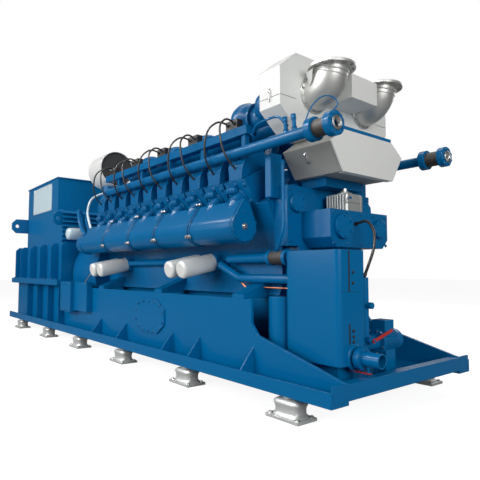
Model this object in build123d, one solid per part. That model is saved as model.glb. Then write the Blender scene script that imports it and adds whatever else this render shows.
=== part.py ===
from build123d import *
import math
import os

# Gas engine generator set: a twenty-cylinder vee engine and its alternator on one welded base.
# Millimetres. X runs along the set, +X at the engine's free end. +Z is up, and the floor is Z = 0.
# The set is symmetric about Y = 0 except where a piece's name says otherwise.
# Side a lies at negative Y and side b at positive Y.

# Base frame
base_length = 6200
base_half_width = 716
base_bottom = 122
flange_thickness = 20
lip_top = 202
lip_thickness = 12
web_outer = 600
web_thickness = 20
web_top = 622
web_step = 472
web_toe = 237
web_end = 2364
web_knee_run = 60
web_toe_end = 3067
gusset_thickness = 14
gusset_height = 190
gusset_places = (60, 620, 1430, 1800, 2390)
cross_depth = 86
floor_plate_thickness = 15
end_plate_thickness = 14
end_plate_height = 130

# Isolators under the base
isolator_count = 6
isolator_first = 2773
isolator_pitch = 1039
isolator_last_offset = 130
isolator_row = 667
foot_length = 247
foot_width = 149
foot_thickness = 17
housing_length = 190
housing_width = 120
housing_gap = 14
foot_hole_radius = 9
foot_hole_inset = 20

# Alternator
alternator_rear = 3090
alternator_front = 1040
alternator_rib_outer = 655
lower_rib_outer = 675
lower_rib_thickness = 14
lower_ribs = (-2340, -1890, -1445, -1040)
alternator_skin = 560
alternator_rail_outer = 700
rail_bottom = 630
rail_thickness = 34
upper_frame_top = 1150
upper_frame_chamfer = 45
rib_thickness = 14
upper_ribs = (-2820, -2344, -1889, -1437)
housing_front = 1500
housing_outer = 500
housing_rear = 3060
terminal_bottom = 1600
terminal_top = 2050
terminal_front = 1694
lid_thickness = 16
lid_overhang = 10
louvre_count = 7
louvre_pitch = 57
louvre_bottom = 1215
louvre_depth = 34
lug_thickness = 30
rear_lug_reach = 235
rear_lug_height = 210
front_lug_reach = 115
front_lug_height = 176
lug_hole_radius = 26
lug_level = 1480

# Engine block and crankcase
crank_level = 700
vee_half_angle = 30
cylinder_count = 10
cylinder_pitch = 250
first_cylinder = 2165
deck_distance = 720
head_height = 180
head_half_width = 150
head_length = 228
crankcase_half_width = 360
crankcase_bottom = 640
crankcase_rear = 330
crankcase_front = 2400
sump_half_width = 330
sump_bottom = 330
bell_radius = 520
bell_rise = 60
bell_rear = 1020
mount_places = (2230, 1180, 20)
mount_width = 120

# Charge air manifold along each side
manifold_radius = 105
manifold_y = 585
manifold_level = 1090
manifold_rear = -520
manifold_front = 2285
manifold_clamp_thickness = 10
runner_radius = 48

# Coolant pipe, ignition rail and coils above each bank
coolant_radius = 34
coolant_y = 590
coolant_level = 1588
coolant_rear = 100
coolant_front = 2868
flange_radius = 68
pipe_flange_thickness = 22
compensator_length = 96
end_flange_length = 50
coolant_bore = 28
rail_y = 480
rail_top = 1800
rail_height = 62
rail_width = 70
rail_rear = -115
rail_front = 2215
coil_size = 70
lead_radius = 7
saddle_height = 32
bracket_width = 40
cover_outer = (-567, 1514)
cover_shoulder = (-500, 1655)
cover_crown = (-410, 1702)

# Exhaust side at the free end
elbow_radius = 108
elbow_bend = 134
elbow_wall = 5
elbow_y = 259
elbow_level = 1949
exhaust_flange_radius = 151
exhaust_flange_thickness = 14
exhaust_bolt_circle = 134
exhaust_bolt_count = 12
exhaust_bolt_radius = 6
shroud_outer = 560
shroud_rear = 2405
shroud_front = 2594
elbow_start = 2618
shroud_bottom = 1826
shroud_eave = 2074
shroud_ridge = 2190
shroud_ridge_y = 420
hood_rear = 2420
hood_front = 2830
hood_outline = ((250, 1667), (370, 1580), (255, 1412))
hood_trim_height = 24
box_half_width = 135
box_front = 2812
box_bottom = 1905
box_top = 2060
turbo_radius = 112
turbo_rear = 2265
turbo_y = 395
turbo_level = 1912

# Front end: gear case, mixer, coolant tanks, pump and drain
gearcase_rear = 2400
gearcase_front = 2520
gearcase_half_width = 430
gearcase_bottom = 640
gearcase_step = 960
gearcase_foot_half_width = 330
gearcase_top = 1350
nose_front = 2760
nose_half_width = 300
nose_bottom = 950
nose_top = 1185
mixer_radius = 112
mixer_height = 122
mixer_x = 2640
mixer_y = -30
tank_rear = 2560
tank_front = 2980
tank_outer = 500
tank_inner = 250
tank_bottom = 278
tank_top = 920
tank_corner = 40
drain_x = 2990
drain_y = -360
drain_level = 320
drain_radius = 40
drain_bore = 34
drain_end = 3150
lever_length = 120
lever_hub_radius = 13
lever_thickness = 6
stem_radius = 7
stem_clearance = 0.5
pump_x = 2920
pump_level = 376
pump_radius = 60
pump_flange_radius = 78
pump_flange_y = -108
pump_end_y = -250
motor_end_y = 108
pump_valve_y = -229
pump_valve_level = 401
pump_lever_x = 3011
pump_lever_length = 186
pump_lever_angle = 15
riser_radius = 24
riser_x = 2945
riser_y = -225
riser_top = 762

# Filters, pipes and air intake
filter_radius = 68
filter_length = 290
filter_tilt = 12
seat_margin = 76
filter_root_y = 410
filter_root_level = 866
filter_places = (0, 175, 1495, 1670)
pipe_radius = 30
side_pipe_radius = 32
side_pipe_y = -424
upper_pipe_level = 886
lower_pipe_level = 748
drum_radius = 200
drum_length = 370
drum_front = -480
drum_y = -220
drum_level = 1990
drum_wall = 6
fit_gap = 0.3


def block(x0, x1, y0, y1, z0, z1):
    """A box between two corners."""
    return Pos((x0 + x1) / 2, (y0 + y1) / 2, (z0 + z1) / 2) * Box(x1 - x0, y1 - y0, z1 - z0)


def rod_x(radius, x0, x1, y, z):
    """A round bar along X."""
    return Pos((x0 + x1) / 2, y, z) * Rot(0, 90, 0) * Cylinder(radius, x1 - x0)


def rod_y(radius, y0, y1, x, z):
    """A round bar along Y."""
    return Pos(x, (y0 + y1) / 2, z) * Rot(90, 0, 0) * Cylinder(radius, y1 - y0)


def rod_z(radius, z0, z1, x, y):
    """A round bar along Z."""
    return Pos(x, y, (z0 + z1) / 2) * Cylinder(radius, z1 - z0)


def section_x(points, x0, x1):
    """An outline of (y, z) points carried along X."""
    face = make_face(Plane.YZ * Polyline(*points, close=True))
    return Pos(x0, 0, 0) * extrude(face, x1 - x0, dir=(1, 0, 0))


def section_y(points, y0, y1):
    """An outline of (x, z) points carried along Y."""
    face = make_face(Plane.XZ * Polyline(*points, close=True))
    return Pos(0, y0, 0) * extrude(face, y1 - y0, dir=(0, 1, 0))


def other_side(shapes):
    """The same pieces on side b."""
    return [mirror(shape, about=Plane.XZ) for shape in shapes]


def bank_point(distance, across):
    """A (y, z) point in bank a: distance up the bore line from the crank, across towards the outside."""
    lean = math.radians(vee_half_angle)
    y = -distance * math.sin(lean) - across * math.cos(lean)
    z = crank_level + distance * math.cos(lean) - across * math.sin(lean)
    return (y, z)


def cylinder_places():
    """X of each cylinder of a bank, from the free end."""
    return [first_cylinder - index * cylinder_pitch for index in range(cylinder_count)]


def foot_places():
    """X of each isolator: the last one stands a little further back."""
    places = [isolator_first - index * isolator_pitch for index in range(isolator_count)]
    places[-1] -= isolator_last_offset
    return places


def base_beam():
    """Web plate with a bottom flange, an upturned lip, gussets and a sloping toe."""
    half = base_length / 2
    inner = -web_outer + web_thickness
    flange = block(-half, half, -base_half_width, inner, base_bottom, base_bottom + flange_thickness)
    lip = block(
        -half, half, -base_half_width, -base_half_width + lip_thickness, base_bottom + flange_thickness, lip_top
    )
    floor = base_bottom + flange_thickness
    outline = [
        (-half, floor),
        (-half, rail_bottom),
        (-alternator_front, rail_bottom),
        (-alternator_front, web_top),
        (web_end, web_top),
        (web_end, web_step),
        (web_end + web_knee_run, web_step - 69),
        (web_toe_end, web_toe),
        (half, web_toe - 6),
        (half, floor),
    ]
    web = section_y(outline, -web_outer, -web_outer + web_thickness)
    inner_lip = -base_half_width + lip_thickness
    beam = flange + lip + web
    for place in gusset_places:
        triangle = [(-web_outer, floor), (-web_outer, floor + gusset_height), (inner_lip, lip_top), (inner_lip, floor)]
        beam += section_x(triangle, place - gusset_thickness, place)
    for place in lower_ribs:
        rib = [
            (-web_outer, floor),
            (-web_outer, rail_bottom),
            (-lower_rib_outer, rail_bottom),
            (-lower_rib_outer, floor),
        ]
        beam += section_x(rib, place - lower_rib_thickness, place)
    return [beam]


def end_plates():
    """Plates that close the lips at the free end."""
    half = base_length / 2
    low = base_bottom + flange_thickness
    plate = block(
        half - end_plate_thickness, half, -base_half_width + lip_thickness, -web_outer, low, web_toe - 6
    )
    return [plate]


def cross_members():
    """Channels that tie the two beams at the ends and under the engine."""
    half = base_length / 2
    inner = web_outer - web_thickness
    bars = []
    low = base_bottom + flange_thickness
    for x0 in (-half, -1100, 600, half - 60):
        bars.append(block(x0, x0 + 60, -inner, inner, low, low + cross_depth))
    return bars


def floor_plate():
    """Plate between the beams at the free end."""
    inner = web_outer - web_thickness
    low = base_bottom + flange_thickness
    return [block(660, base_length / 2 - 60, -inner, inner, low, low + floor_plate_thickness)]


def isolators():
    """Cast housing on a base plate with four bolt holes, and its seat under the base flange."""
    plates = []
    housings = []
    for x in foot_places():
        plate = Pos(x, -isolator_row, foot_thickness / 2) * Box(foot_length, foot_width, foot_thickness)
        for i in (-1, 1):
            for j in (-1, 1):
                hole_x = x + i * (foot_length / 2 - foot_hole_inset)
                hole_y = -isolator_row + j * (foot_width / 2 - foot_hole_inset)
                plate -= rod_z(foot_hole_radius, -1, foot_thickness + 1, hole_x, hole_y)
        plates.append(plate)
        height = base_bottom - housing_gap - foot_thickness
        body = Pos(x, -isolator_row, foot_thickness + height / 2) * Box(housing_length, housing_width, height)
        body = fillet(body.edges().filter_by(Axis.Z), housing_width * 0.42)
        body = fillet(body.faces().sort_by(Axis.Z)[-1].edges(), 16)
        stud = rod_z(26, base_bottom - housing_gap, base_bottom, x, -isolator_row)
        housings.append(body + stud)
    return plates, housings


def alternator_frames():
    """Split stator frame: a rail on the base, a ribbed upper half, and the box-shaped housing above."""
    half = base_length / 2
    skin = alternator_skin
    inner = web_outer - web_thickness
    low = base_bottom + flange_thickness
    rear = -alternator_rear
    lower = block(rear + 10, -alternator_front, -inner + 2, inner - 2, low + cross_depth, rail_bottom)
    rail = block(-half, -alternator_front, -alternator_rail_outer, alternator_rail_outer, rail_bottom,
                 rail_bottom + rail_thickness)
    top_rail = rail_bottom + rail_thickness
    upper_rail = block(
        -half, -alternator_front, -alternator_rail_outer, alternator_rail_outer, top_rail, top_rail + rail_thickness
    )
    base = top_rail + rail_thickness
    outer = alternator_rib_outer
    chamfer = upper_frame_chamfer
    end_shape = [
        (-outer, base),
        (-outer, upper_frame_top - chamfer),
        (-outer + chamfer, upper_frame_top),
        (outer - chamfer, upper_frame_top),
        (outer, upper_frame_top - chamfer),
        (outer, base),
    ]
    core = block(-half, -alternator_front, -skin, skin, base, upper_frame_top)
    upper = upper_rail + core
    for place in (-half + rib_thickness, *upper_ribs, -alternator_front):
        upper += section_x(end_shape, place - rib_thickness, place)
    return [lower], [rail], [upper]


def alternator_top():
    """Housing, terminal box, its lid, louvres and lifting lugs."""
    rear = -housing_rear
    housing = block(rear, -housing_front, -housing_outer, housing_outer, upper_frame_top, terminal_bottom)
    box = block(rear, -terminal_front, -housing_outer, housing_outer, terminal_bottom, terminal_top - lid_thickness)
    lid = block(
        rear - lid_overhang,
        -terminal_front + lid_overhang,
        -housing_outer - lid_overhang,
        housing_outer + lid_overhang,
        terminal_top - lid_thickness,
        terminal_top,
    )
    slats = []
    for index in range(louvre_count):
        z = louvre_bottom + index * louvre_pitch
        blade = [
            (-housing_front, z),
            (-housing_front + louvre_depth, z - 14),
            (-housing_front + louvre_depth, z - 8),
            (-housing_front, z + 30),
        ]
        slats.append(section_y(blade, -housing_outer, housing_outer))
    return [housing], [box], [lid], slats


def lug(x, reach, height):
    """An octagonal lifting plate with one hole, standing out from the housing."""
    root = -housing_outer
    tip = root - reach
    half = height / 2
    cut = height * 0.28
    outline = [
        (root, lug_level - half),
        (tip + cut, lug_level - half),
        (tip, lug_level - half + cut),
        (tip, lug_level + half - cut),
        (tip + cut, lug_level + half),
        (root, lug_level + half),
    ]
    plate = section_x(outline, x, x + lug_thickness)
    hole_y = tip + half - 30
    return plate - rod_x(lug_hole_radius, x - 1, x + lug_thickness + 1, hole_y, lug_level)


def crankcase():
    """Cast block: a vee section with the two deck faces, over a narrower skirt."""
    outer = bank_point(deck_distance, head_half_width)
    inner = bank_point(deck_distance, -head_half_width)
    half_outline = [
        (-sump_half_width - 60, crankcase_bottom),
        (-crankcase_half_width, crankcase_bottom + 60),
        (-crankcase_half_width, 960),
        outer,
        inner,
    ]
    outline = half_outline + [(-y, z) for y, z in reversed(half_outline)]
    return [section_x(outline, -crankcase_rear, crankcase_front)]


def sump():
    """Oil pan under the block."""
    outline = [
        (-sump_half_width, crankcase_bottom),
        (-sump_half_width, sump_bottom + 60),
        (-sump_half_width + 60, sump_bottom),
        (sump_half_width - 60, sump_bottom),
        (sump_half_width, sump_bottom + 60),
        (sump_half_width, crankcase_bottom),
    ]
    return [section_x(outline, -crankcase_rear, crankcase_front)]


def heads():
    """One head and one valve cover for each cylinder of bank a."""
    head_list = []
    cover_list = []
    top = deck_distance + head_height
    for x in cylinder_places():
        block_points = [
            bank_point(deck_distance, head_half_width),
            bank_point(top, head_half_width),
            bank_point(top, -head_half_width),
            bank_point(deck_distance, -head_half_width),
        ]
        head_list.append(section_x(block_points, x - head_length / 2, x + head_length / 2))
        cover_points = [
            bank_point(top, head_half_width - 8),
            cover_outer,
            cover_shoulder,
            cover_crown,
            bank_point(top + 100, -head_half_width + 30),
            bank_point(top, -head_half_width + 20),
        ]
        cover_list.append(section_x(cover_points, x - head_length / 2 + 20, x + head_length / 2 - 20))
    return head_list, cover_list


def manifold():
    """Round charge air tube with a wedge towards the heads, one bent runner for each cylinder, and end caps."""
    tube = rod_x(manifold_radius, manifold_rear, manifold_front, -manifold_y, manifold_level)
    wedge = [
        (-manifold_y - manifold_radius * 0.95, manifold_level + 40),
        (-manifold_y - 40, manifold_level + 172),
        (-manifold_y + 35, manifold_level + 172),
        (-manifold_y + manifold_radius * 0.98, manifold_level + 20),
    ]
    tube += section_x(wedge, manifold_rear + 180, manifold_front)
    end_y, end_z = bank_point(deck_distance + head_height * 0.3, head_half_width)
    bend = 130
    turn = 90 - vee_half_angle
    start_y = end_y - bend * (1 - math.cos(math.radians(turn)))
    start_z = end_z - bend * math.sin(math.radians(turn))
    for x in cylinder_places():
        ring = Pos(x, start_y, start_z) * Circle(runner_radius)
        axis = Axis((x, start_y + bend, start_z), (-1, 0, 0))
        tube += revolve(ring, axis, turn)
    return [tube]


def coolant_line():
    """Water pipe along the bank on saddles, with its pipe flange, and the saddles' feet on the valve covers."""
    pipe = rod_x(coolant_radius, coolant_rear, coolant_front, -coolant_y, coolant_level)
    flange_end = coolant_front + 2 * pipe_flange_thickness
    pipe += rod_x(flange_radius, coolant_front, flange_end, -coolant_y, coolant_level)
    joint = rod_x(flange_radius * 0.74, flange_end, flange_end + compensator_length, -coolant_y, coolant_level)
    joint -= rod_x(coolant_bore + 3, flange_end - 1, flange_end + compensator_length + 1, -coolant_y, coolant_level)
    front = flange_end + compensator_length
    end = rod_x(flange_radius, front, front + end_flange_length - 6, -coolant_y, coolant_level)
    end += rod_x(coolant_bore + 11, front, front + end_flange_length, -coolant_y, coolant_level)
    end -= rod_x(coolant_bore, front - 1, front + end_flange_length + 1, -coolant_y, coolant_level)
    return [pipe], [joint], [end]


def ignition_rail():
    """Square rail over the valve covers, and a pair of ignition coils on it for every two cylinders."""
    outer = -rail_y - rail_width / 2
    inner = -rail_y + rail_width / 2
    rail = block(rail_rear, rail_front, outer, inner, rail_top - rail_height, rail_top)
    coils = []
    for index in range(0, cylinder_count, 2):
        x = first_cylinder - (index + 0.5) * cylinder_pitch
        coils.append(block(x - 65, x + 65, -rail_y - 26, -rail_y + 26, rail_top, rail_top + coil_size))
    return [rail], coils


def elbow():
    """Exhaust bend from the shroud up to a bolted flange."""
    centre = Axis((elbow_start, -elbow_y, elbow_level + elbow_bend), (0, -1, 0))
    face = Plane(origin=(elbow_start, -elbow_y, elbow_level), z_dir=(1, 0, 0))
    outer = revolve(face * Circle(elbow_radius), centre, 90)
    inner = revolve(face * Circle(elbow_radius - elbow_wall), centre, 90)
    top = elbow_level + elbow_bend
    x = elbow_start + elbow_bend
    collar = rod_z(exhaust_flange_radius, top - exhaust_flange_thickness, top, x, -elbow_y)
    collar -= rod_z(elbow_radius - elbow_wall, top - 60, top + 1, x, -elbow_y)
    for index in range(exhaust_bolt_count):
        angle = math.radians((index + 0.5) * 360 / exhaust_bolt_count)
        hole_x = x + exhaust_bolt_circle * math.cos(angle)
        hole_y = -elbow_y + exhaust_bolt_circle * math.sin(angle)
        collar -= rod_z(exhaust_bolt_radius, top - 60, top + 1, hole_x, hole_y)
    neck = rod_x(elbow_radius, shroud_front, elbow_start, -elbow_y, elbow_level)
    neck -= rod_x(elbow_radius - elbow_wall, shroud_front, elbow_start, -elbow_y, elbow_level)
    return [outer - inner + collar + neck]


def shroud():
    """Heat shield over one turbocharger: pitched top, straight side and an undercut below."""
    outline = [
        (-shroud_ridge_y, shroud_ridge),
        (-shroud_outer, shroud_eave),
        (-shroud_outer, shroud_bottom),
        (-378, hood_outline[0][1]),
        (-box_half_width, hood_outline[0][1]),
        (-box_half_width, shroud_ridge),
    ]
    return [section_x(outline, shroud_rear, shroud_front)]


def hood():
    """Six-sided hood below the shrouds, its blue top strip, and the box between the exhaust bends."""
    outline = [(-y, z) for y, z in hood_outline] + [(y, z) for y, z in reversed(hood_outline)]
    cover = section_x(outline, hood_rear, hood_front)
    top_y, top_z = hood_outline[0]
    trim = block(shroud_front + 60, hood_front + 6, -top_y, top_y, top_z, top_z + hood_trim_height)
    middle = block(shroud_rear + 20, shroud_front, -box_half_width, box_half_width, top_z, shroud_ridge - 20)
    box = block(shroud_front, box_front, -box_half_width, box_half_width, box_bottom, box_top)
    return [cover], [trim], [middle], [box]


def exhaust_manifold():
    """Lagged exhaust pipe in the vee with a domed section over every second cylinder and a port from each head."""
    pipe_y = -190
    pipe_z = 1850
    pipe = rod_x(80, rail_rear, shroud_rear, pipe_y, pipe_z)
    for index in range(0, cylinder_count - 2, 2):
        x = first_cylinder - (index + 1.5) * cylinder_pitch
        pipe += rod_x(115, x - 75, x + 75, pipe_y, pipe_z)
    for x in cylinder_places():
        arm = [
            bank_point(deck_distance + 150, -head_half_width),
            bank_point(deck_distance + 80, -head_half_width),
            (pipe_y + 30, pipe_z - 60),
            (pipe_y - 40, pipe_z - 60),
        ]
        pipe += section_x(arm, x - 35, x + 35)
    return [pipe]


def bell_housing():
    """Flywheel housing between the block and the alternator."""
    disc = rod_x(bell_radius, -bell_rear, -crankcase_rear, 0, crank_level + bell_rise)
    inner = web_outer - web_thickness - 2
    return [disc & block(-bell_rear, -crankcase_rear, -inner, inner, 180, 1400)]


def gear_case():
    """Front gear case, its nose, round covers and the bracket under the hood."""
    case = block(gearcase_rear, gearcase_front, -gearcase_half_width, gearcase_half_width,
                 gearcase_step, gearcase_top)
    case += block(gearcase_rear, gearcase_front, -gearcase_foot_half_width, gearcase_foot_half_width,
                  gearcase_bottom, gearcase_step)
    nose = block(gearcase_front, nose_front, -nose_half_width, nose_half_width, nose_bottom, nose_top)
    nose = chamfer(nose.edges().filter_by(Axis.X).sort_by(Axis.Z)[:2], 60)
    covers = []
    for y, z, radius in ((-355, 1240, 60), (355, 1240, 60)):
        covers.append(rod_x(radius, gearcase_front, gearcase_front + 30, y, z))
    for y, z, radius in ((-190, 1080, 78), (190, 1080, 62)):
        covers.append(rod_x(radius, nose_front, nose_front + 26, y, z))
    bracket_top = hood_outline[2][1]
    bracket = block(gearcase_rear + 30, gearcase_front + 120, -200, 200, gearcase_top, bracket_top)
    return [case], [nose], covers, [bracket]


def mixer():
    """Ribbed round gas mixer on the nose, with its actuator knob and rod."""
    body = rod_z(mixer_radius * 0.86, nose_top, nose_top + mixer_height, mixer_x, mixer_y)
    for index in range(12):
        angle = index * 30
        rib = Pos(mixer_x, mixer_y, nose_top + mixer_height / 2) * Rot(0, 0, angle) * Pos(
            mixer_radius - 12, 0, 0) * Box(24, 26, mixer_height)
        body += rib
    knob = rod_z(30, nose_top + mixer_height, nose_top + mixer_height + 30, mixer_x, mixer_y)
    return [body], [knob]


def front_tank():
    """Tall sheet box with rounded corners beside the gear case."""
    tank = block(tank_rear, tank_front, -tank_outer, -tank_inner, tank_bottom, tank_top)
    tank = fillet(tank.edges().filter_by(Axis.Z), tank_corner)
    support = block(tank_rear + 60, tank_front - 60, -tank_outer + 60, -tank_inner - 60,
                    base_bottom + flange_thickness + floor_plate_thickness, tank_bottom)
    return [tank], [support]


def oil_filters():
    """Spin-on filters that lean down and outwards from the crankcase."""
    tilt = math.radians(filter_tilt)
    cans = []
    heads_list = []
    for x in filter_places:
        root = Plane(origin=(x, -filter_root_y, filter_root_level), z_dir=(0, -math.cos(tilt), -math.sin(tilt)))
        can = extrude(root * Circle(filter_radius), filter_length)
        can = fillet(can.edges().group_by(Axis.Y)[0], 24)
        cans.append(can)
    for x0, x1 in ((filter_places[0], filter_places[1]), (filter_places[2], filter_places[3])):
        lean = 60 * math.sin(tilt)
        rise = 60 * math.cos(tilt)
        seat = [
            (-crankcase_half_width, filter_root_level + rise),
            (-filter_root_y - lean, filter_root_level + rise),
            (-filter_root_y + lean, filter_root_level - rise),
            (-crankcase_half_width, filter_root_level - rise),
        ]
        heads_list.append(section_x(seat, x0 - seat_margin, x1 + seat_margin))
    return cans, heads_list


def bent_pipe(points, radius, bends):
    """A round pipe along straight runs with rounded corners."""
    path = FilletPolyline(*points, radius=bends)
    start = Plane(origin=path @ 0, z_dir=path % 0)
    return sweep(start * Circle(radius), path=path)


def side_pipes():
    """The oil pipe between the filters and the two bent pipes that run forward to the tank."""
    run_y = -crankcase_half_width - pipe_radius
    start = filter_places[1] + seat_margin
    end = filter_places[2] - seat_margin
    oil_pipe = rod_x(pipe_radius, start, end, run_y, filter_root_level + 10)
    flange = side_pipe_radius + 20
    wall = -crankcase_half_width
    upper = bent_pipe(
        [(1900, wall, upper_pipe_level), (1900, side_pipe_y, upper_pipe_level), (2380, side_pipe_y, upper_pipe_level)],
        side_pipe_radius,
        [36],
    )
    upper += rod_x(flange, 2352, 2380, side_pipe_y, upper_pipe_level)
    joint = rod_x(flange - 6, 2380, 2500, side_pipe_y, upper_pipe_level)
    stub = rod_x(flange, 2500, 2528, side_pipe_y, upper_pipe_level)
    stub += rod_x(side_pipe_radius, 2528, tank_rear, side_pipe_y, upper_pipe_level)
    lower = bent_pipe(
        [(1800, wall, 850), (1800, side_pipe_y, 850), (2040, side_pipe_y, lower_pipe_level),
         (tank_rear, side_pipe_y, lower_pipe_level)],
        side_pipe_radius - 2,
        [36, 120],
    )
    return [oil_pipe, upper, lower], [joint], [stub]


def air_drum():
    """Steel intake drum with an open front and its dark element."""
    rear = drum_front - drum_length
    shell = rod_x(drum_radius, rear, drum_front, drum_y, drum_level)
    shell -= rod_x(drum_radius - drum_wall, rear + 20, drum_front + 1, drum_y, drum_level)
    element = rod_x(drum_radius - drum_wall - 8, rear + 20, drum_front - 12, drum_y, drum_level)
    neck = rod_z(90, crank_level + bell_rise, drum_level - drum_radius + 8, (rear + drum_front) / 2, drum_y)
    neck -= rod_x(bell_radius, -bell_rear, -crankcase_rear, 0, crank_level + bell_rise)
    neck -= rod_x(drum_radius, rear - 1, drum_front + 1, drum_y, drum_level)
    return [shell], [element], [neck]


def drain():
    """Rubber joint, flanged valve body and open pipe end at the tank's foot, with a lever on its stem."""
    joint = rod_x(drain_radius + 4, tank_front, tank_front + 22, drain_y, drain_level)
    x = tank_front + 22
    body = rod_x(drain_radius + 22, x, x + 36, drain_y, drain_level)
    body += rod_x(drain_radius, x + 36, drain_end, drain_y, drain_level)
    body -= rod_x(drain_bore, x + 60, drain_end + 1, drain_y, drain_level)
    stem_x = x + 62
    low = drain_level - drain_radius
    body += rod_z(12, low - 14, low + 4, stem_x, drain_y)
    body += rod_z(stem_radius, low - 42, low - 10, stem_x, drain_y)
    lever_z = low - 33 - lever_thickness
    hub = rod_z(lever_hub_radius, lever_z, lever_z + lever_thickness, stem_x, drain_y)
    arm = block(stem_x - lever_length, stem_x, drain_y - 9, drain_y + 9, lever_z, lever_z + lever_thickness)
    lever = hub + arm - rod_z(stem_radius + stem_clearance, lever_z - 1, lever_z + lever_thickness + 1,
                              stem_x, drain_y)
    return [joint], [body], [lever]


def pump():
    """Electric pre-lubrication pump: pump end, flange, motor, fan cover, foot and terminal box."""
    body = rod_y(46, pump_end_y, pump_flange_y, pump_x, pump_level)
    body += rod_y(pump_flange_radius, pump_flange_y, pump_flange_y + 14, pump_x, pump_level)
    motor = rod_y(pump_radius, pump_flange_y + 14, motor_end_y - 40, pump_x, pump_level)
    motor += rod_y(pump_radius + 5, motor_end_y - 40, motor_end_y, pump_x, pump_level)
    floor = base_bottom + flange_thickness + floor_plate_thickness
    motor += block(pump_x - 45, pump_x + 45, -50, 50, floor, pump_level - pump_radius + 8)
    box_top = pump_level + pump_radius + 66
    box = block(pump_x - 52, pump_x + 42, -52, 42, pump_level, box_top)
    box -= rod_y(pump_radius, -90, 90, pump_x, pump_level)
    box = box.solids().sort_by(Axis.Z)[-1]
    return [body], [motor], [box]


def pump_valve():
    """Riser beside the tank with its stub, the valve between riser and pump, and the valve's lever."""
    riser = rod_z(riser_radius, pump_level, riser_top, riser_x, riser_y)
    riser += rod_x(19, riser_x, pump_lever_x - 11, riser_y, 600)
    stem_start = riser_x + riser_radius - 6
    body = rod_x(22, riser_x, pump_lever_x - 14, pump_valve_y, pump_valve_level)
    body += rod_x(stem_radius, stem_start, pump_lever_x + 8, pump_valve_y, pump_valve_level)
    x0 = pump_lever_x - lever_thickness / 2
    x1 = pump_lever_x + lever_thickness / 2
    hub = rod_x(lever_hub_radius, x0, x1, pump_valve_y, pump_valve_level)
    arm = Pos((x0 + x1) / 2, pump_valve_y, pump_valve_level) * Rot(pump_lever_angle, 0, 0) * Pos(
        0, pump_lever_length / 2, 0) * Box(x1 - x0, pump_lever_length, 18)
    lever = hub + arm - rod_x(stem_radius + stem_clearance, x0 - 1, x1 + 1, pump_valve_y, pump_valve_level)
    return [riser + body], [lever]


def hatch():
    """Octagonal bolted plate on the base web."""
    x0, x1, z0, z1 = 800, 1300, 285, 565
    cut_x, cut_z = 120, 80
    outline = [
        (x0 + cut_x, z0), (x1 - cut_x, z0), (x1, z0 + cut_z), (x1, z1 - cut_z),
        (x1 - cut_x, z1), (x0 + cut_x, z1), (x0, z1 - cut_z), (x0, z0 + cut_z),
    ]
    return [section_y(outline, -web_outer - 12, -web_outer)]


def bank_brackets():
    """Saddles that carry the water pipe and posts that carry the ignition rail, on every second valve cover."""
    brackets = []
    run_y, run_z = cover_shoulder[0] - cover_outer[0], cover_shoulder[1] - cover_outer[1]
    length = math.hypot(run_y, run_z)
    along = (run_y / length, run_z / length)
    outward = (-along[1], along[0])
    gap = (-coolant_y - cover_outer[0]) * outward[0] + (coolant_level - cover_outer[1]) * outward[1]
    foot = (-coolant_y - gap * outward[0], coolant_level - gap * outward[1])
    half = saddle_height / 2
    saddle = [
        (foot[0] - half * along[0], foot[1] - half * along[1]),
        (foot[0] + half * along[0], foot[1] + half * along[1]),
        (-coolant_y + half * along[0], coolant_level + half * along[1]),
        (-coolant_y - half * along[0], coolant_level - half * along[1]),
    ]
    slope = (cover_crown[1] - cover_shoulder[1]) / (cover_crown[0] - cover_shoulder[0])
    inner = cover_shoulder[0] + 40
    post = [
        cover_shoulder,
        (inner, cover_shoulder[1] + 40 * slope),
        (inner, rail_top - rail_height),
        (cover_shoulder[0], rail_top - rail_height),
    ]
    for x in cylinder_places()[::2]:
        piece = section_x(saddle, x - bracket_width / 2, x + bracket_width / 2)
        piece -= rod_x(coolant_radius, x - bracket_width, x + bracket_width, -coolant_y, coolant_level)
        brackets.append(piece)
        brackets.append(section_x(post, x - bracket_width / 2, x + bracket_width / 2))
    return brackets


def lead_radii(points):
    """The largest arc at each corner that its two straight runs leave room for."""
    radii = []
    for index in range(1, len(points) - 1):
        before = Vector(*points[index]) - Vector(*points[index - 1])
        after = Vector(*points[index + 1]) - Vector(*points[index])
        half_turn = math.radians(before.get_angle(after)) / 2
        radii.append(0.45 * min(before.length, after.length) / math.tan(half_turn))
    return radii


def ignition_leads():
    """A lead from each coil over the rail and the water pipe to each head."""
    leads = []
    for index, x in enumerate(cylinder_places()):
        side = 1 if index % 2 == 0 else -1
        start = x - side * (cylinder_pitch / 2 - 36)
        run = x - start
        outer = -rail_y - 26
        points = [
            (start, outer, rail_top + 44),
            (start + 0.10 * run, -585, 1862),
            (start + 0.35 * run, -662, 1800),
            (start + 0.65 * run, -676, 1690),
            (start + 0.85 * run, -652, 1575),
            (x, cover_outer[0] - 2, 1490),
        ]
        leads.append(bent_pipe(points, lead_radius, lead_radii(points)))
    return leads


def turbocharger():
    """Compressor end of one turbocharger behind its shroud."""
    body = rod_x(turbo_radius, turbo_rear, shroud_rear, -turbo_y, turbo_level)
    body += rod_x(turbo_radius * 0.55, turbo_rear - 45, turbo_rear, -turbo_y, turbo_level)
    return [body]


def engine_mounts():
    """Feet of the crankcase on the base webs."""
    outline = [
        (-web_outer, web_top),
        (-web_outer, web_top + 26),
        (-crankcase_half_width, 740),
        (-crankcase_half_width, crankcase_bottom + 60),
        (-sump_half_width - 60, crankcase_bottom),
        (-sump_half_width - 60, web_top),
    ]
    return [section_x(outline, x - mount_width / 2, x + mount_width / 2) for x in mount_places]


def base_bracket():
    """Box and bolted plate on the base web beside the flywheel housing."""
    box = block(-720, -210, -660, -web_outer, 370, 680)
    plate = block(-900, -578, -700, -web_outer, 350, 680)
    return [box + plate]


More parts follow.
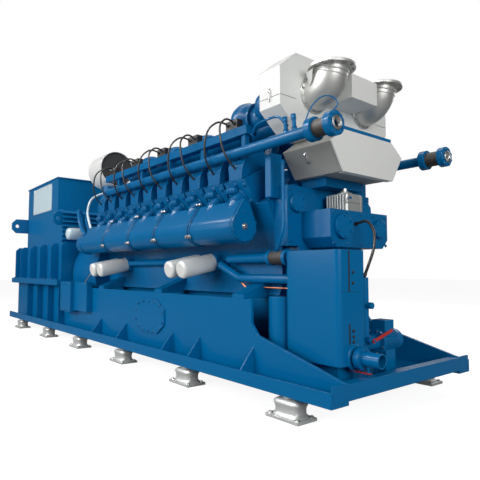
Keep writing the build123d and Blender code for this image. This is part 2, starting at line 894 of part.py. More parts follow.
def canister():
    """Upright oil cylinder between the tank and the base web."""
    foot = base_bottom + flange_thickness + floor_plate_thickness
    return [rod_z(85, foot, 640, 2470, -432)]


def write(name, shapes):
    """One STEP file for each named piece."""
    export_step(Compound(children=[solid for shape in shapes for solid in shape.solids()]),
                "parts/" + name + ".step")


os.makedirs("parts", exist_ok=True)

plates, housings = isolators()
alternator_lower, alternator_rail, alternator_upper = alternator_frames()
alternator_housing, terminal_box, terminal_lid, louvres = alternator_top()
lugs = [lug(-housing_rear, rear_lug_reach, rear_lug_height),
        lug(-housing_front - lug_thickness, front_lug_reach, front_lug_height)]
head_list, cover_list = heads()
pipe, rubber_joint, end_flange = coolant_line()
rail, coils = ignition_rail()
hood_cover, hood_trim, shroud_middle, elbow_box = hood()
case, nose, case_covers, hood_bracket = gear_case()
mixer_body, mixer_knob = mixer()
tank, tank_support = front_tank()
cans, filter_seats = oil_filters()
long_pipes, low_joint, tank_stub = side_pipes()
drum, drum_element, drum_neck = air_drum()
drain_joint, drain_body, drain_lever = drain()
pump_body, pump_motor, pump_box = pump()
pump_valve_body, pump_lever = pump_valve()

for side, place in (("a", lambda shapes: shapes), ("b", other_side)):
    write("base_beam_" + side, place(base_beam()))
    write("charge_air_manifold_" + side, place(manifold()))
    write("coolant_pipe_" + side, place(pipe))
    write("ignition_leads_" + side, place(ignition_leads()))
    write("exhaust_elbow_" + side, place(elbow()))
    write("turbo_shroud_" + side, place(shroud()))
    write("exhaust_manifold_" + side, place(exhaust_manifold()))

pairs = {
    "base_hatches": hatch(),
    "isolator_plates": plates,
    "isolator_housings": housings,
    "lifting_lugs": lugs,
    "engine_mounts": engine_mounts(),
    "cylinder_heads": head_list,
    "valve_covers": cover_list,
    "ignition_rails": rail,
    "ignition_coils": coils,
    "bank_brackets": bank_brackets(),
    "coolant_end_flanges": end_flange,
    "turbochargers": turbocharger(),
    "oil_filters": cans,
    "filter_seats": filter_seats,
}
for name, shapes in pairs.items():
    write(name, shapes + other_side(shapes))

singles = {
    "base_cross_members": cross_members() + end_plates() + other_side(end_plates()),
    "base_floor_plate": floor_plate(),
    "base_bracket": base_bracket(),
    "alternator_lower_frame": [alternator_lower[0] + alternator_rail[0]],
    "alternator_upper_frame": alternator_upper,
    "alternator_housing": alternator_housing,
    "terminal_box": [terminal_box[0] + terminal_lid[0]],
    "alternator_louvres": louvres,
    "crankcase": crankcase(),
    "oil_sump": sump(),
    "bell_housing": bell_housing(),
    "rubber_joints": rubber_joint + other_side(rubber_joint) + low_joint + drain_joint,
    "shroud_bridge": shroud_middle,
    "front_hood": hood_cover,
    "hood_trim": hood_trim,
    "elbow_box": elbow_box,
    "gear_case": [case[0] + hood_bracket[0]],
    "gear_case_nose": nose,
    "gear_case_covers": case_covers,
    "gas_mixer": [mixer_body[0] + mixer_knob[0]],
    "front_tank": [tank[0] + tank_support[0]],
    "oil_canister": canister(),
    "side_pipes": long_pipes + tank_stub,
    "air_drum": drum,
    "air_drum_element": drum_element,
    "air_drum_neck": drum_neck,
    "drain_valve": drain_body,
    "drain_lever": drain_lever,
    "pump_body": [pump_body[0] + pump_valve_body[0]],
    "pump_motor": [pump_motor[0] + pump_box[0]],
    "pump_lever": pump_lever,
}
for name, shapes in singles.items():
    write(name, shapes)
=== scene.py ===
"""Looks of the gas engine generator set: its finishes, the pieces that replace plain ones, and the small fittings."""

import math

import bpy
import numpy as np
from mathutils import Matrix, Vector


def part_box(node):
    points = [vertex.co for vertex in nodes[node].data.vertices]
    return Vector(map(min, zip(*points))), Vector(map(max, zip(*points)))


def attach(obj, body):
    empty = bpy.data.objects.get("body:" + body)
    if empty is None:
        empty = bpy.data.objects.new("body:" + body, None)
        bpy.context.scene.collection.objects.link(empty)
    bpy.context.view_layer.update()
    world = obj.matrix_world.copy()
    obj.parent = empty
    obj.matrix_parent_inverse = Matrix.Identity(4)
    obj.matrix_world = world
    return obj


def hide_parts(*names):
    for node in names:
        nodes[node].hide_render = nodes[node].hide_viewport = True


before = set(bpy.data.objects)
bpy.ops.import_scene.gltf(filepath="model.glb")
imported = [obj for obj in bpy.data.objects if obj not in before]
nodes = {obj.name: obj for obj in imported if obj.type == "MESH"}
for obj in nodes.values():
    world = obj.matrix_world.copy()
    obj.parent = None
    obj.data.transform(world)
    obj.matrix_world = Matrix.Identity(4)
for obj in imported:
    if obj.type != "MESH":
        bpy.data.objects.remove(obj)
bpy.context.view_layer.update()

# Camera: place in metres, turn and rise in degrees, lens in millimetres
CAMERA_AT = (4.6304, -2.5369, 0.7996)
CAMERA_TURN = 50.8303
CAMERA_RISE = 3.7735
CAMERA_LENS = 35.27


def camera():
    """The camera that matches the photograph."""
    data = bpy.data.cameras.new("camera")
    data.lens = CAMERA_LENS
    data.sensor_width = 36.0
    data.clip_end = 100.0
    holder = bpy.data.objects.new("camera", data)
    holder.location = CAMERA_AT
    holder.rotation_euler = (math.radians(90 + CAMERA_RISE), 0, math.radians(CAMERA_TURN))
    bpy.context.scene.collection.objects.link(holder)
    bpy.context.scene.camera = holder


camera()


# Surfaces


def mesh_piece(name, points, faces, material, body="set", smooth=True):
    """An object from an array of points and a list of faces, with its place in its mesh."""
    mesh = bpy.data.meshes.new(name)
    mesh.from_pydata(np.asarray(points, float).tolist(), [], faces)
    mesh.polygons.foreach_set("use_smooth", np.full(len(mesh.polygons), smooth))
    mesh.materials.append(material)
    mesh.update()
    piece = bpy.data.objects.new(name, mesh)
    bpy.context.scene.collection.objects.link(piece)
    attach(piece, body)
    return piece


def ring_faces(rows, count):
    """Quads between rows of count points, where each row is a closed ring."""
    i, j = np.meshgrid(np.arange(rows - 1), np.arange(count), indexing="ij")
    after = (j + 1) % count
    quads = np.stack([i * count + after, (i + 1) * count + after, (i + 1) * count + j, i * count + j], -1)
    return quads.reshape(-1, 4).tolist()


def end_rings(rows, count):
    """The first and the last ring, as outlines for end faces."""
    return list(range(count)), list(range((rows - 1) * count, rows * count))


def joined(parts):
    """One array of points and one list of faces from several."""
    points = []
    faces = []
    offset = 0
    for part_points, part_faces in parts:
        points.append(part_points)
        faces.extend([[k + offset for k in face] for face in part_faces])
        offset += len(part_points)
    return np.concatenate(points), faces


def basis(direction):
    """Two unit vectors square to a direction, so that across x beside = direction."""
    d = np.asarray(direction, float)
    d = d / np.linalg.norm(d)
    helper = np.array([0, 0, 1.0]) if abs(d[2]) < 0.9 else np.array([1.0, 0, 0])
    across = np.cross(helper, d)
    across /= np.linalg.norm(across)
    return across, np.cross(d, across), d


def turned(profile, centre, direction, count=40):
    """A profile of (radius, height) pairs swept once round an axis: centre + height * axis +
    radius * (cos t * across + sin t * beside). Faces point outwards where the height rises along the profile."""
    across, beside, axis = basis(direction)
    profile = np.asarray(profile, float)
    angle = np.linspace(0, 2 * np.pi, count, endpoint=False)
    ring = np.cos(angle)[:, None] * across + np.sin(angle)[:, None] * beside
    points = (
        np.asarray(centre, float)
        + profile[:, 1][:, None, None] * axis
        + profile[:, 0][:, None, None] * ring[None, :, :]
    )
    return points.reshape(-1, 3), ring_faces(len(profile), count)


def tube(path, radius, count=12):
    """A round section carried along a path of points: each ring is square to the path's own direction,
    turned as little as possible from the ring before. The two end faces point inwards."""
    path = np.asarray(path, float)
    step = np.gradient(path, axis=0)
    step /= np.linalg.norm(step, axis=1)[:, None]
    across = basis(step[0])[0]
    rings = []
    angle = np.linspace(0, 2 * np.pi, count, endpoint=False)
    for place, direction in zip(path, step):
        across = across - direction * np.dot(across, direction)
        across /= np.linalg.norm(across)
        beside = np.cross(direction, across)
        rings.append(place + radius * (np.cos(angle)[:, None] * across + np.sin(angle)[:, None] * beside))
    first, last = end_rings(len(path), count)
    return np.concatenate(rings), ring_faces(len(path), count) + [first, last[::-1]]


def curve_through(points, count):
    """A smooth line through points: each stretch is a cubic whose ends head along the line between the
    neighbours on either side."""
    points = np.asarray(points, float)
    padded = np.concatenate([[2 * points[0] - points[1]], points, [2 * points[-1] - points[-2]]])
    share = np.linspace(0, 1, count, endpoint=False)[:, None]
    line = [
        0.5 * (2 * b + (c - a) * share + (2 * a - 5 * b + 4 * c - d) * share**2 + (3 * b - a - 3 * c + d) * share**3)
        for a, b, c, d in zip(padded[:-3], padded[1:-2], padded[2:-1], padded[3:])
    ]
    return np.concatenate(line + [points[-1:]])


def bolt_heads(name, places, direction, radius, height, material, washer=True):
    """Hexagon heads on washers at many places, all facing one way: six corners at a radius, a low rim and a
    slightly smaller top."""
    rim = [(radius, 0.0), (radius, height * 0.85), (radius * 0.86, height)]
    points, faces = turned(rim, (0, 0, 0), direction, 6)
    head = [(points, faces + [list(range(12, 18))])]
    if washer:
        points, faces = turned([(1.45 * radius, 0.0), (1.4 * radius, height * 0.22)], (0, 0, 0), direction, 14)
        head.append((points, faces + [list(range(14, 28))]))
    points, faces = joined(head)
    every_head = joined([(points + np.asarray(place, float), faces) for place in places])
    return mesh_piece(name, *every_head, material, smooth=False)


def arc(centre, radius, count, start=0.0):
    """Angles spread evenly round a centre: points of (first, second) = centre + radius * (cos, sin)."""
    angle = np.radians(start + np.arange(count) * 360 / count)
    return np.stack([centre[0] + radius * np.cos(angle), centre[1] + radius * np.sin(angle)], -1)


def plate(corners, normal, thickness):
    """A flat plate: its outline of corner points and the same outline moved along the normal. Its faces point
    outwards when the corners run anticlockwise about the normal."""
    low = np.asarray(corners, float)
    top = low + np.asarray(normal, float) * thickness
    n = len(low)
    sides = [[k, (k + 1) % n, n + (k + 1) % n, n + k] for k in range(n)]
    first, last = end_rings(2, n)
    return np.concatenate([low, top]), sides + [first[::-1], last]


# Finishes


def new_group(name, inputs, outputs):
    """An empty shader group with named sockets."""
    group = bpy.data.node_groups.new(name, "ShaderNodeTree")
    for label, kind, value in inputs:
        socket = group.interface.new_socket(label, in_out="INPUT", socket_type=kind)
        socket.default_value = value
    for label, kind in outputs:
        group.interface.new_socket(label, in_out="OUTPUT", socket_type=kind)
    return group, group.nodes.new("NodeGroupInput"), group.nodes.new("NodeGroupOutput")


def set_inputs(node, **values):
    """Values for a node's inputs; an underscore in a label stands for a space."""
    for label, value in values.items():
        node.inputs[label.replace("_", " ")].default_value = value
    return node


def new_node(tree, kind, **values):
    """A shader node of one kind, with values for its inputs."""
    return set_inputs(tree.nodes.new("ShaderNode" + kind), **values)


def product(tree, first, second):
    """Two values multiplied."""
    times = new_node(tree, "Math")
    times.operation = "MULTIPLY"
    tree.links.new(first, times.inputs[0])
    tree.links.new(second, times.inputs[1])
    return times.outputs[0]


def spread(tree, value, **limits):
    """A value whose range, From Min to From Max, is spread over To Min to To Max."""
    reach = new_node(tree, "MapRange", **limits)
    tree.links.new(value, reach.inputs["Value"])
    return reach.outputs["Result"]


def noise(tree, place, **values):
    """Noise over the places that a node gives."""
    cloud = new_node(tree, "TexNoise", **values)
    tree.links.new(place, cloud.inputs["Vector"])
    return cloud.outputs["Fac"]


def blend(tree, factor, first, second):
    """One colour turned into a second by a factor; the second is a plain colour or another node's output."""
    mix = tree.nodes.new("ShaderNodeMix")
    mix.data_type = "RGBA"
    tree.links.new(factor, mix.inputs["Factor"])
    tree.links.new(first, mix.inputs["A"])
    if isinstance(second, tuple):
        mix.inputs["B"].default_value = second
    else:
        tree.links.new(second, mix.inputs["B"])
    return mix.outputs["Result"]


def edge_group():
    """Edges: how far the rounded normal turns from the face's own normal, broken up by noise. The mask turns edges to
    an edge colour: this is partly wear, and where that colour is lighter than the paint it is partly a painted
    highlight along the edges.
    """
    group, start, end = new_group(
        "edge_wear_and_highlight",
        [("Width", "NodeSocketFloat", 0.004), ("Strength", "NodeSocketFloat", 1.0)],
        [("Mask", "NodeSocketFloat"), ("Normal", "NodeSocketVector")],
    )
    links = group.links
    bevel = new_node(group, "Bevel")
    bevel.samples = 4
    geometry = new_node(group, "NewGeometry")
    dot = new_node(group, "VectorMath")
    dot.operation = "DOT_PRODUCT"
    links.new(start.outputs["Width"], bevel.inputs["Radius"])
    links.new(bevel.outputs[0], dot.inputs[0])
    links.new(geometry.outputs["Normal"], dot.inputs[1])
    edge_nearness = spread(group, dot.outputs["Value"], From_Min=0.995, From_Max=0.80)
    place = new_node(group, "TexCoord").outputs["Object"]
    breaks = spread(group, noise(group, place, Scale=24.0, Detail=5.0), From_Min=0.42, From_Max=0.66)
    mask = product(group, product(group, edge_nearness, breaks), start.outputs["Strength"])
    links.new(mask, end.inputs["Mask"])
    links.new(bevel.outputs[0], end.inputs["Normal"])
    return group


def tone_group():
    """Tone: a base colour that drifts slowly over the surface, with dust that settles on tops, and a fine grain."""
    group, start, end = new_group(
        "surface_tone",
        [
            ("Colour", "NodeSocketColor", (0.5, 0.5, 0.5, 1)),
            ("Second", "NodeSocketColor", (0.4, 0.4, 0.4, 1)),
            ("Drift", "NodeSocketFloat", 0.35),
            ("Scale", "NodeSocketFloat", 1.6),
            ("Dust", "NodeSocketFloat", 0.06),
        ],
        [("Colour", "NodeSocketColor"), ("Grain", "NodeSocketFloat")],
    )
    links = group.links
    place = new_node(group, "TexCoord").outputs["Object"]
    slow = new_node(group, "TexNoise", Detail=6.0, Roughness=0.6)
    links.new(place, slow.inputs["Vector"])
    links.new(start.outputs["Scale"], slow.inputs["Scale"])
    drift = product(group, slow.outputs["Fac"], start.outputs["Drift"])
    drifting = blend(group, drift, start.outputs["Colour"], start.outputs["Second"])
    split = new_node(group, "SeparateXYZ")
    links.new(new_node(group, "NewGeometry").outputs["Normal"], split.inputs[0])
    up = spread(group, split.outputs["Z"], From_Min=0.5, From_Max=1.0)
    dust = product(group, product(group, up, slow.outputs["Fac"]), start.outputs["Dust"])
    links.new(blend(group, dust, drifting, (0.45, 0.47, 0.48, 1)), end.inputs["Colour"])
    links.new(noise(group, place, Scale=180.0, Detail=3.0), end.inputs["Grain"])
    return group


EDGE = edge_group()
TONE = tone_group()
SHEEN_SPREAD = 0.08


def placed(tree, group, **values):
    """A shader group in a material, with its own values."""
    node = tree.nodes.new("ShaderNodeGroup")
    node.node_tree = group
    return set_inputs(node, **values)


def finish(name, colour, second, roughness, metallic=0.0, coat=0.0, drift=0.35, scale=1.6, dust=0.06,
           edge_colour=None, edge=0.5, edge_width=0.004, grain=0.0006, grain_stretch=None, specular=0.5):
    """A Principled finish: drifting tone, edges turned to an edge colour (part wear, and part painted highlight where
    that colour is lighter), a fine grain in the height and an uneven sheen.
    """
    material = bpy.data.materials.new(name)
    material.use_nodes = True
    tree = material.node_tree
    links = tree.links
    shader = set_inputs(tree.nodes["Principled BSDF"], Metallic=metallic, Coat_Weight=coat, Coat_Roughness=0.10,
                        Specular_IOR_Level=specular)
    tone = placed(tree, TONE, Colour=(*colour, 1), Second=(*second, 1), Drift=drift, Scale=scale, Dust=dust)
    edge_wear_and_glint = placed(tree, EDGE, Width=edge_width, Strength=edge)
    worn_and_glinting = blend(tree, edge_wear_and_glint.outputs["Mask"], tone.outputs["Colour"], (*(edge_colour or second), 1))
    links.new(worn_and_glinting, shader.inputs["Base Color"])
    height = tone.outputs["Grain"]
    if grain_stretch:
        mapping = new_node(tree, "Mapping", Scale=grain_stretch)
        links.new(new_node(tree, "TexCoord").outputs["Object"], mapping.inputs["Vector"])
        height = noise(tree, mapping.outputs["Vector"], Scale=60.0, Detail=4.0)
    sheen = spread(tree, height, To_Min=max(0.02, roughness - SHEEN_SPREAD), To_Max=roughness + SHEEN_SPREAD)
    links.new(sheen, shader.inputs["Roughness"])
    bump = new_node(tree, "Bump", Strength=0.25, Distance=grain)
    links.new(height, bump.inputs["Height"])
    links.new(edge_wear_and_glint.outputs["Normal"], bump.inputs["Normal"])
    links.new(bump.outputs["Normal"], shader.inputs["Normal"])
    return material


# Where an edge colour is lighter than its paint, as on both blues and the red grip, the lighter edges are partly wear
# and partly a painted highlight.
BLUE = finish("blue_gloss_paint", (0.0, 0.148, 0.37), (0.0, 0.10, 0.28), 0.24, coat=0.04, drift=0.45, dust=0.0,
              edge_colour=(0.03, 0.23, 0.47), edge=0.5, edge_width=0.006, specular=0.13)
BLUE_CAST = finish("blue_cast_paint", (0.0, 0.142, 0.36), (0.0, 0.085, 0.25), 0.28, coat=0.04, drift=0.6, scale=5.0,
                   dust=0.0, edge_colour=(0.05, 0.27, 0.52), edge=0.6, edge_width=0.007, grain=0.0016,
                   specular=0.13)
SHEET = finish("light_sheet_paint", (0.80, 0.81, 0.785), (0.72, 0.73, 0.705), 0.42, drift=0.4, dust=0.1,
               edge_colour=(0.80, 0.81, 0.80), edge=0.5, edge_width=0.004)
STAINLESS = finish("stainless_bends", (0.62, 0.625, 0.60), (0.50, 0.50, 0.48), 0.42, metallic=0.72, drift=0.6,
                   scale=3.0, dust=0.0, edge_colour=(0.72, 0.72, 0.70), grain=0.0005, grain_stretch=(1, 1, 6))
DRUM = finish("drum_steel", (0.86, 0.865, 0.85), (0.74, 0.74, 0.73), 0.36, metallic=0.12, drift=0.5, scale=4.0,
              dust=0.0, edge_colour=(0.70, 0.70, 0.68), grain_stretch=(0.6, 8, 8))
# Darker grey of the hood's body: painted shade over its sides and undercut, while its front face keeps the light
# sheet on a plate of its own.
SHADED_HOOD_SHEET = finish("hood_sheet_painted_shade", (0.40, 0.40, 0.37), (0.27, 0.265, 0.24), 0.5, drift=0.8, scale=4.0, dust=0.05,
                edge_colour=(0.55, 0.55, 0.52), edge=0.4, edge_width=0.003)
CAN = finish("filter_shell", (0.84, 0.85, 0.82), (0.74, 0.75, 0.73), 0.30, metallic=0.05, drift=0.3, dust=0.05,
             edge_colour=(0.75, 0.75, 0.74), grain_stretch=(6, 1, 1))
ZINC = finish("isolator_zinc", (0.62, 0.63, 0.62), (0.50, 0.51, 0.50), 0.42, metallic=0.40, drift=0.7, scale=9.0,
              dust=0.1, edge_colour=(0.66, 0.66, 0.65), edge=0.6, grain=0.0012)
ALUMINIUM = finish("mixer_aluminium", (0.56, 0.58, 0.56), (0.42, 0.44, 0.43), 0.36, metallic=0.6, drift=0.5,
                   scale=9.0, dust=0.03, edge_colour=(0.8, 0.81, 0.82), edge=0.7)
RUBBER = finish("joint_rubber", (0.032, 0.026, 0.020), (0.055, 0.045, 0.035), 0.55, drift=0.8, scale=9.0, dust=0.12,
                edge=0.2)
BLACK = finish("coil_plastic", (0.018, 0.018, 0.020), (0.040, 0.034, 0.030), 0.38, drift=0.8, scale=12.0, dust=0.08,
               edge=0.2)
LEAD = finish("lead_rubber", (0.012, 0.012, 0.014), (0.02, 0.02, 0.02), 0.42, drift=0.5, scale=20.0, dust=0.1,
              edge=0.0)
RED = finish("lever_grip", (0.55, 0.018, 0.014), (0.38, 0.010, 0.010), 0.28, coat=0.3, drift=0.4, scale=14.0,
             edge_colour=(0.75, 0.10, 0.08))
STEEL = finish("zinced_bolts", (0.50, 0.50, 0.49), (0.34, 0.34, 0.33), 0.32, metallic=0.95, drift=0.6, scale=30.0,
               dust=0.0, edge=0.4)
PANEL = finish("bare_panel", (0.60, 0.74, 0.80), (0.54, 0.68, 0.74), 0.35, drift=0.3, dust=0.04,
               edge_colour=(0.85, 0.87, 0.88), edge=0.3)
# Near-black: the dark joint line of the shrouds, the tank's seam line and the tank's bolts, and painted shade for the
# tank's two slots, which are flat plates where the real slots are recessed.
NEAR_BLACK_AND_SLOT_SHADE = finish("near_black_and_painted_slot_shade", (0.010, 0.018, 0.028), (0.02, 0.03, 0.04), 0.6, drift=0.5, scale=8.0, dust=0.05,
              edge=0.2)
ELEMENT = finish("filter_element", (0.020, 0.020, 0.022), (0.05, 0.05, 0.05), 0.7, drift=0.7, scale=25.0, dust=0.1,
                 edge=0.1)

node_finish = {
    name: material
    for material, names in (
        (SHEET, ("turbo_shroud_a", "turbo_shroud_b", "shroud_bridge", "elbow_box")),
        (SHADED_HOOD_SHEET, ("front_hood",)),
        (STAINLESS, ("exhaust_elbow_a", "exhaust_elbow_b")),
        (DRUM, ("air_drum",)),
        (ELEMENT, ("air_drum_element",)),
        (CAN, ("oil_filters",)),
        (ZINC, ("isolator_plates", "isolator_housings")),
        (ALUMINIUM, ("gas_mixer",)),
        (RUBBER, ("rubber_joints",)),
        (BLACK, ("ignition_coils",)),
        (LEAD, ("ignition_leads_a", "ignition_leads_b")),
        (RED, ("drain_lever", "pump_lever")),
        (BLUE_CAST, ("crankcase", "cylinder_heads", "bell_housing", "gear_case", "gear_case_nose", "oil_sump",
                     "turbochargers", "exhaust_manifold_a", "exhaust_manifold_b")),
    )
    for name in names
}


def split_edges(piece, degrees):
    """Smooth shading that stops at every edge sharper than an angle."""
    split = piece.modifiers.new("sharp_edges", "EDGE_SPLIT")
    split.split_angle = math.radians(degrees)


def dress_nodes():
    """Each modelled node gets its finish, its loose triangles joined, and smooth shading up to its sharp edges."""
    for name, node in nodes.items():
        node.data.materials.clear()
        node.data.materials.append(node_finish.get(name, BLUE))
        node.data.polygons.foreach_set("use_smooth", np.ones(len(node.data.polygons), bool))
        weld = node.modifiers.new("joined", "WELD")
        weld.merge_threshold = 0.00002
        split_edges(node, 32)


dress_nodes()


# Places that several pieces share, in metres; a pair is (y, z)

PITCH = 0.250
FIRST_CYLINDER = 2.165
CYLINDERS = FIRST_CYLINDER - PITCH * np.arange(10)
BANK = math.radians(30)
OUTWARD = np.array([0, -math.cos(BANK), -math.sin(BANK)])
UPWARD = np.array([0, -math.sin(BANK), math.cos(BANK)])
CRANK = np.array([0, 0, 0.700])
MANIFOLD = (-0.585, 1.090)
BAND_PLACES = (1.770, 1.260, 0.790, 0.250)
ISOLATORS = 2.773 - 1.039 * np.arange(6)
ISOLATORS[-1] -= 0.130
ISOLATOR_ROW = -0.667
WATER_PIPE = (-0.590, 1.588)
BEND_Y = -0.259
FLANGE_TOP = 2.083
FLANGE_X = 2.752
SHROUD_OPENING = 1.949
DRAIN = (-0.360, 0.320)
MOTOR = np.array([2.920, 0.0, 0.376])


# Larger pieces that take the place of plain modelled ones


def mirrored(points, faces):
    """The same surface on side b: Y changes its sign and each face its direction."""
    return np.asarray(points, float) * (1, -1, 1), [face[::-1] for face in faces]


def with_mirror(points, faces):
    """A surface and its mirror image on side b, as one."""
    return joined([(points, faces), mirrored(points, faces)])


def pair(name, points, faces, material, smooth=True):
    """A piece for side a and its mirror image for side b."""
    first = mesh_piece(name + "_a", points, faces, material, smooth=smooth)
    other = mesh_piece(name + "_b", *mirrored(points, faces), material, smooth=smooth)
    return first, other


def soft_edges(piece, width, segments=2, angle=30):
    """Rounded edges: every edge sharper than the angle becomes a few narrow faces."""
    bevel = piece.modifiers.new("rounded", "BEVEL")
    bevel.width = width
    bevel.segments = segments
    bevel.limit_method = "ANGLE"
    bevel.angle_limit = math.radians(angle)


def pear(step, count=44):
    """The charge air pipe's outline of (y, z): a large circle below and a small one beside the heads, joined by
    the two lines that touch both. Each point is centre + radius * (cos, sin), the angle running once round."""
    low, high = np.array(MANIFOLD), np.array([-0.572, 1.232])
    big, small = 0.105 + step, 0.040 + step
    run = high - low
    heading = math.atan2(run[1], run[0])
    opening = math.acos((big - small) / np.linalg.norm(run))
    crown = np.linspace(heading - opening, heading + opening, count // 4)
    belly = np.linspace(heading + opening, heading - opening + 2 * np.pi, count - count // 4)
    top = high + small * np.stack([np.cos(crown), np.sin(crown)], -1)
    bottom = low + big * np.stack([np.cos(belly), np.sin(belly)], -1)
    return np.concatenate([top, bottom])


def carried(outlines, places):
    """Outlines of (y, z) points at places along X, joined in turn, with both ends closed. The end faces point
    inwards."""
    rows = [np.concatenate([np.full((len(o), 1), x), o], 1) for o, x in zip(outlines, places)]
    first, last = end_rings(len(rows), len(rows[0]))
    return np.concatenate(rows), ring_faces(len(rows), len(rows[0])) + [last[::-1], first]


def charge_air_pipe():
    """Pear-section pipe with rounded ends: its outline shrinks towards each end as a quarter circle does. Double
    bands go round it at each joint."""
    quarter = np.linspace(0, np.pi / 2, 7)
    ease = np.sin(quarter)
    flat = 1 - np.cos(quarter)
    middle = np.array([-0.583, 1.110])
    body = pear(0.0)
    rear = [middle + (body - middle) * (0.62 + 0.38 * e) for e in ease]
    front = [middle + (body - middle) * (0.93 + 0.07 * e) for e in ease[::-1]]
    places = np.concatenate([-0.340 + 0.045 * flat, 2.277 + 0.008 * (1 - flat[::-1])])
    round_end = [(0.0, 0.0), (0.055, 0.004), (0.085, 0.018), (0.101, 0.045), (0.105, 0.080), (0.105, 0.26)]
    parts = [carried(rear + front, places), turned(round_end, (-0.520, *MANIFOLD), (1, 0, 0), 40)]
    for place in BAND_PLACES:
        for x in (place - 0.020, place + 0.008):
            parts.append(carried([pear(0.002), pear(0.008), pear(0.008), pear(0.002)],
                                 [x, x + 0.002, x + 0.010, x + 0.012]))
    parts.append(carried([pear(0.001), pear(0.007), pear(0.007), pear(0.001)], [2.255, 2.258, 2.268, 2.271]))
    ring = [(0.104, -0.010), (0.114, -0.008), (0.114, 0.008), (0.104, 0.010)]
    parts.append(turned(ring, (-0.355, *MANIFOLD), (1, 0, 0), 40))
    for piece, side in zip(pair("charge_air_pipe", *joined(parts), BLUE), ("a", "b")):
        split_edges(piece, 40)
        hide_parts("charge_air_manifold_" + side)


def intake_runners():
    """Bent runners from the charge air pipe up to the heads: a round section on an arc of 60 degrees, with a
    bead round it, a flange at the head and a capped stub beside it."""
    reach = 0.130
    turn = np.radians(np.linspace(0, 60, 12))
    head = CRANK + UPWARD * 0.779 + OUTWARD * 0.150
    flange = [(0.0, 0.012), (0.056, 0.012), (0.060, 0.009), (0.060, 0.0), (0.0, 0.0)]
    bead = [(0.047, -0.006), (0.054, -0.003), (0.054, 0.003), (0.047, 0.006)]
    stub = [(0.0, 0.0), (0.014, 0.003), (0.022, 0.012), (0.024, 0.024), (0.024, 0.070), (0.030, 0.074),
            (0.030, 0.084), (0.022, 0.090), (0.020, 0.105), (0.0, 0.108)]
    parts = []
    for x in CYLINDERS:
        line = np.stack([np.full(12, x), head[1] - reach * 0.5 + reach * (1 - np.cos(turn)),
                         head[2] - reach * math.sin(math.radians(60)) + reach * np.sin(turn)], -1)
        line = np.concatenate([[line[0] - (0, 0, 0.07)], line])
        parts += [tube(line, 0.047, 20), turned(flange, (x, head[1], head[2]), OUTWARD, 26),
                  turned(bead, line[7], line[8] - line[6], 22),
                  turned(stub, (x - 0.092, -0.572, 1.345), (1, 0, 0), 20)]
    for piece in pair("intake_runners", *joined(parts), BLUE_CAST):
        split_edges(piece, 40)


def cast_covers():
    """Faceted valve covers: seven corners in section, each row of points set in towards a waist at the bottom,
    with a raised panel on the sloping face."""
    outline = [(0.900, 0.140, 0.066), (0.955, 0.108, 0.070), (0.9884, 0.084, 0.086), (1.0771, -0.0445, 0.094),
               (1.0728, -0.1459, 0.094), (0.990, -0.125, 0.090), (0.900, -0.130, 0.080)]
    base = np.array([CRANK + UPWARD * rise + OUTWARD * across for rise, across, _ in outline])
    half = np.array([width for _, _, width in outline])
    count = len(outline)
    first, last = end_rings(2, count)
    sides = [[count + k, count + (k + 1) % count, (k + 1) % count, k] for k in range(count)]
    low, high = base[2], base[3]
    run = (high - low) / np.linalg.norm(high - low)
    out = np.array([0, -run[2], run[1]])
    parts = []
    for x in CYLINDERS:
        left = base + np.stack([x - half, 0 * half, 0 * half], -1)
        right = base + np.stack([x + half, 0 * half, 0 * half], -1)
        parts.append((np.concatenate([left, right]), sides + [first, last[::-1]]))
        panel = [[x - 0.052, 0, 0] + low + run * 0.022, [x + 0.052, 0, 0] + low + run * 0.022,
                 [x + 0.066, 0, 0] + high - run * 0.024, [x - 0.066, 0, 0] + high - run * 0.024]
        parts.append(plate(panel, out, 0.006))
    covers = mesh_piece("cast_valve_covers", *with_mirror(*joined(parts)), BLUE_CAST, smooth=False)
    soft_edges(covers, 0.006, 3)
    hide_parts("valve_covers")


def squarish(half_x, half_y, power, count=40):
    """A rounded square: half size times cosine and sine, each raised to a power below one."""
    angle = np.linspace(0, 2 * np.pi, count, endpoint=False)
    c, s = np.cos(angle), np.sin(angle)
    return np.stack([half_x * np.sign(c) * np.abs(c) ** power, half_y * np.sign(s) * np.abs(s) ** power], -1)


def stacked(rows, centre):
    """Rounded squares of (half x, half y, power, height), joined upwards and closed at both ends."""
    rings = []
    for half_x, half_y, power, height in rows:
        ring = squarish(half_x, half_y, power)
        rings.append(np.concatenate([ring + np.asarray(centre), np.full((len(ring), 1), height)], 1))
    first, last = end_rings(len(rings), len(rings[0]))
    return np.concatenate(rings), ring_faces(len(rings), len(rings[0])) + [last, first[::-1]]


def isolator_bells():
    """Isolator housings: a foot flange, a drawn-in waist and a rounded top, then the seat under the beam."""
    rows = [(0.100, 0.064, 0.55, 0.0170), (0.101, 0.065, 0.55, 0.0230), (0.097, 0.062, 0.55, 0.0270),
            (0.090, 0.057, 0.52, 0.0310), (0.086, 0.055, 0.50, 0.0400), (0.086, 0.055, 0.50, 0.0600),
            (0.088, 0.056, 0.48, 0.0720), (0.094, 0.060, 0.48, 0.0800), (0.095, 0.060, 0.48, 0.0880),
            (0.091, 0.057, 0.50, 0.0970), (0.080, 0.048, 0.55, 0.1040), (0.060, 0.034, 0.60, 0.1075)]
    seat = [(0.0, 0.106), (0.030, 0.106), (0.030, 0.114), (0.045, 0.115), (0.045, 0.122), (0.0, 0.122)]
    parts = []
    for x in ISOLATORS:
        parts += [stacked(rows, (x, ISOLATOR_ROW)), turned(seat, (x, ISOLATOR_ROW, 0), (0, 0, 1), 20)]
    bells = mesh_piece("isolator_bells", *with_mirror(*joined(parts)), ZINC)
    split_edges(bells, 42)
    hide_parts("isolator_housings")


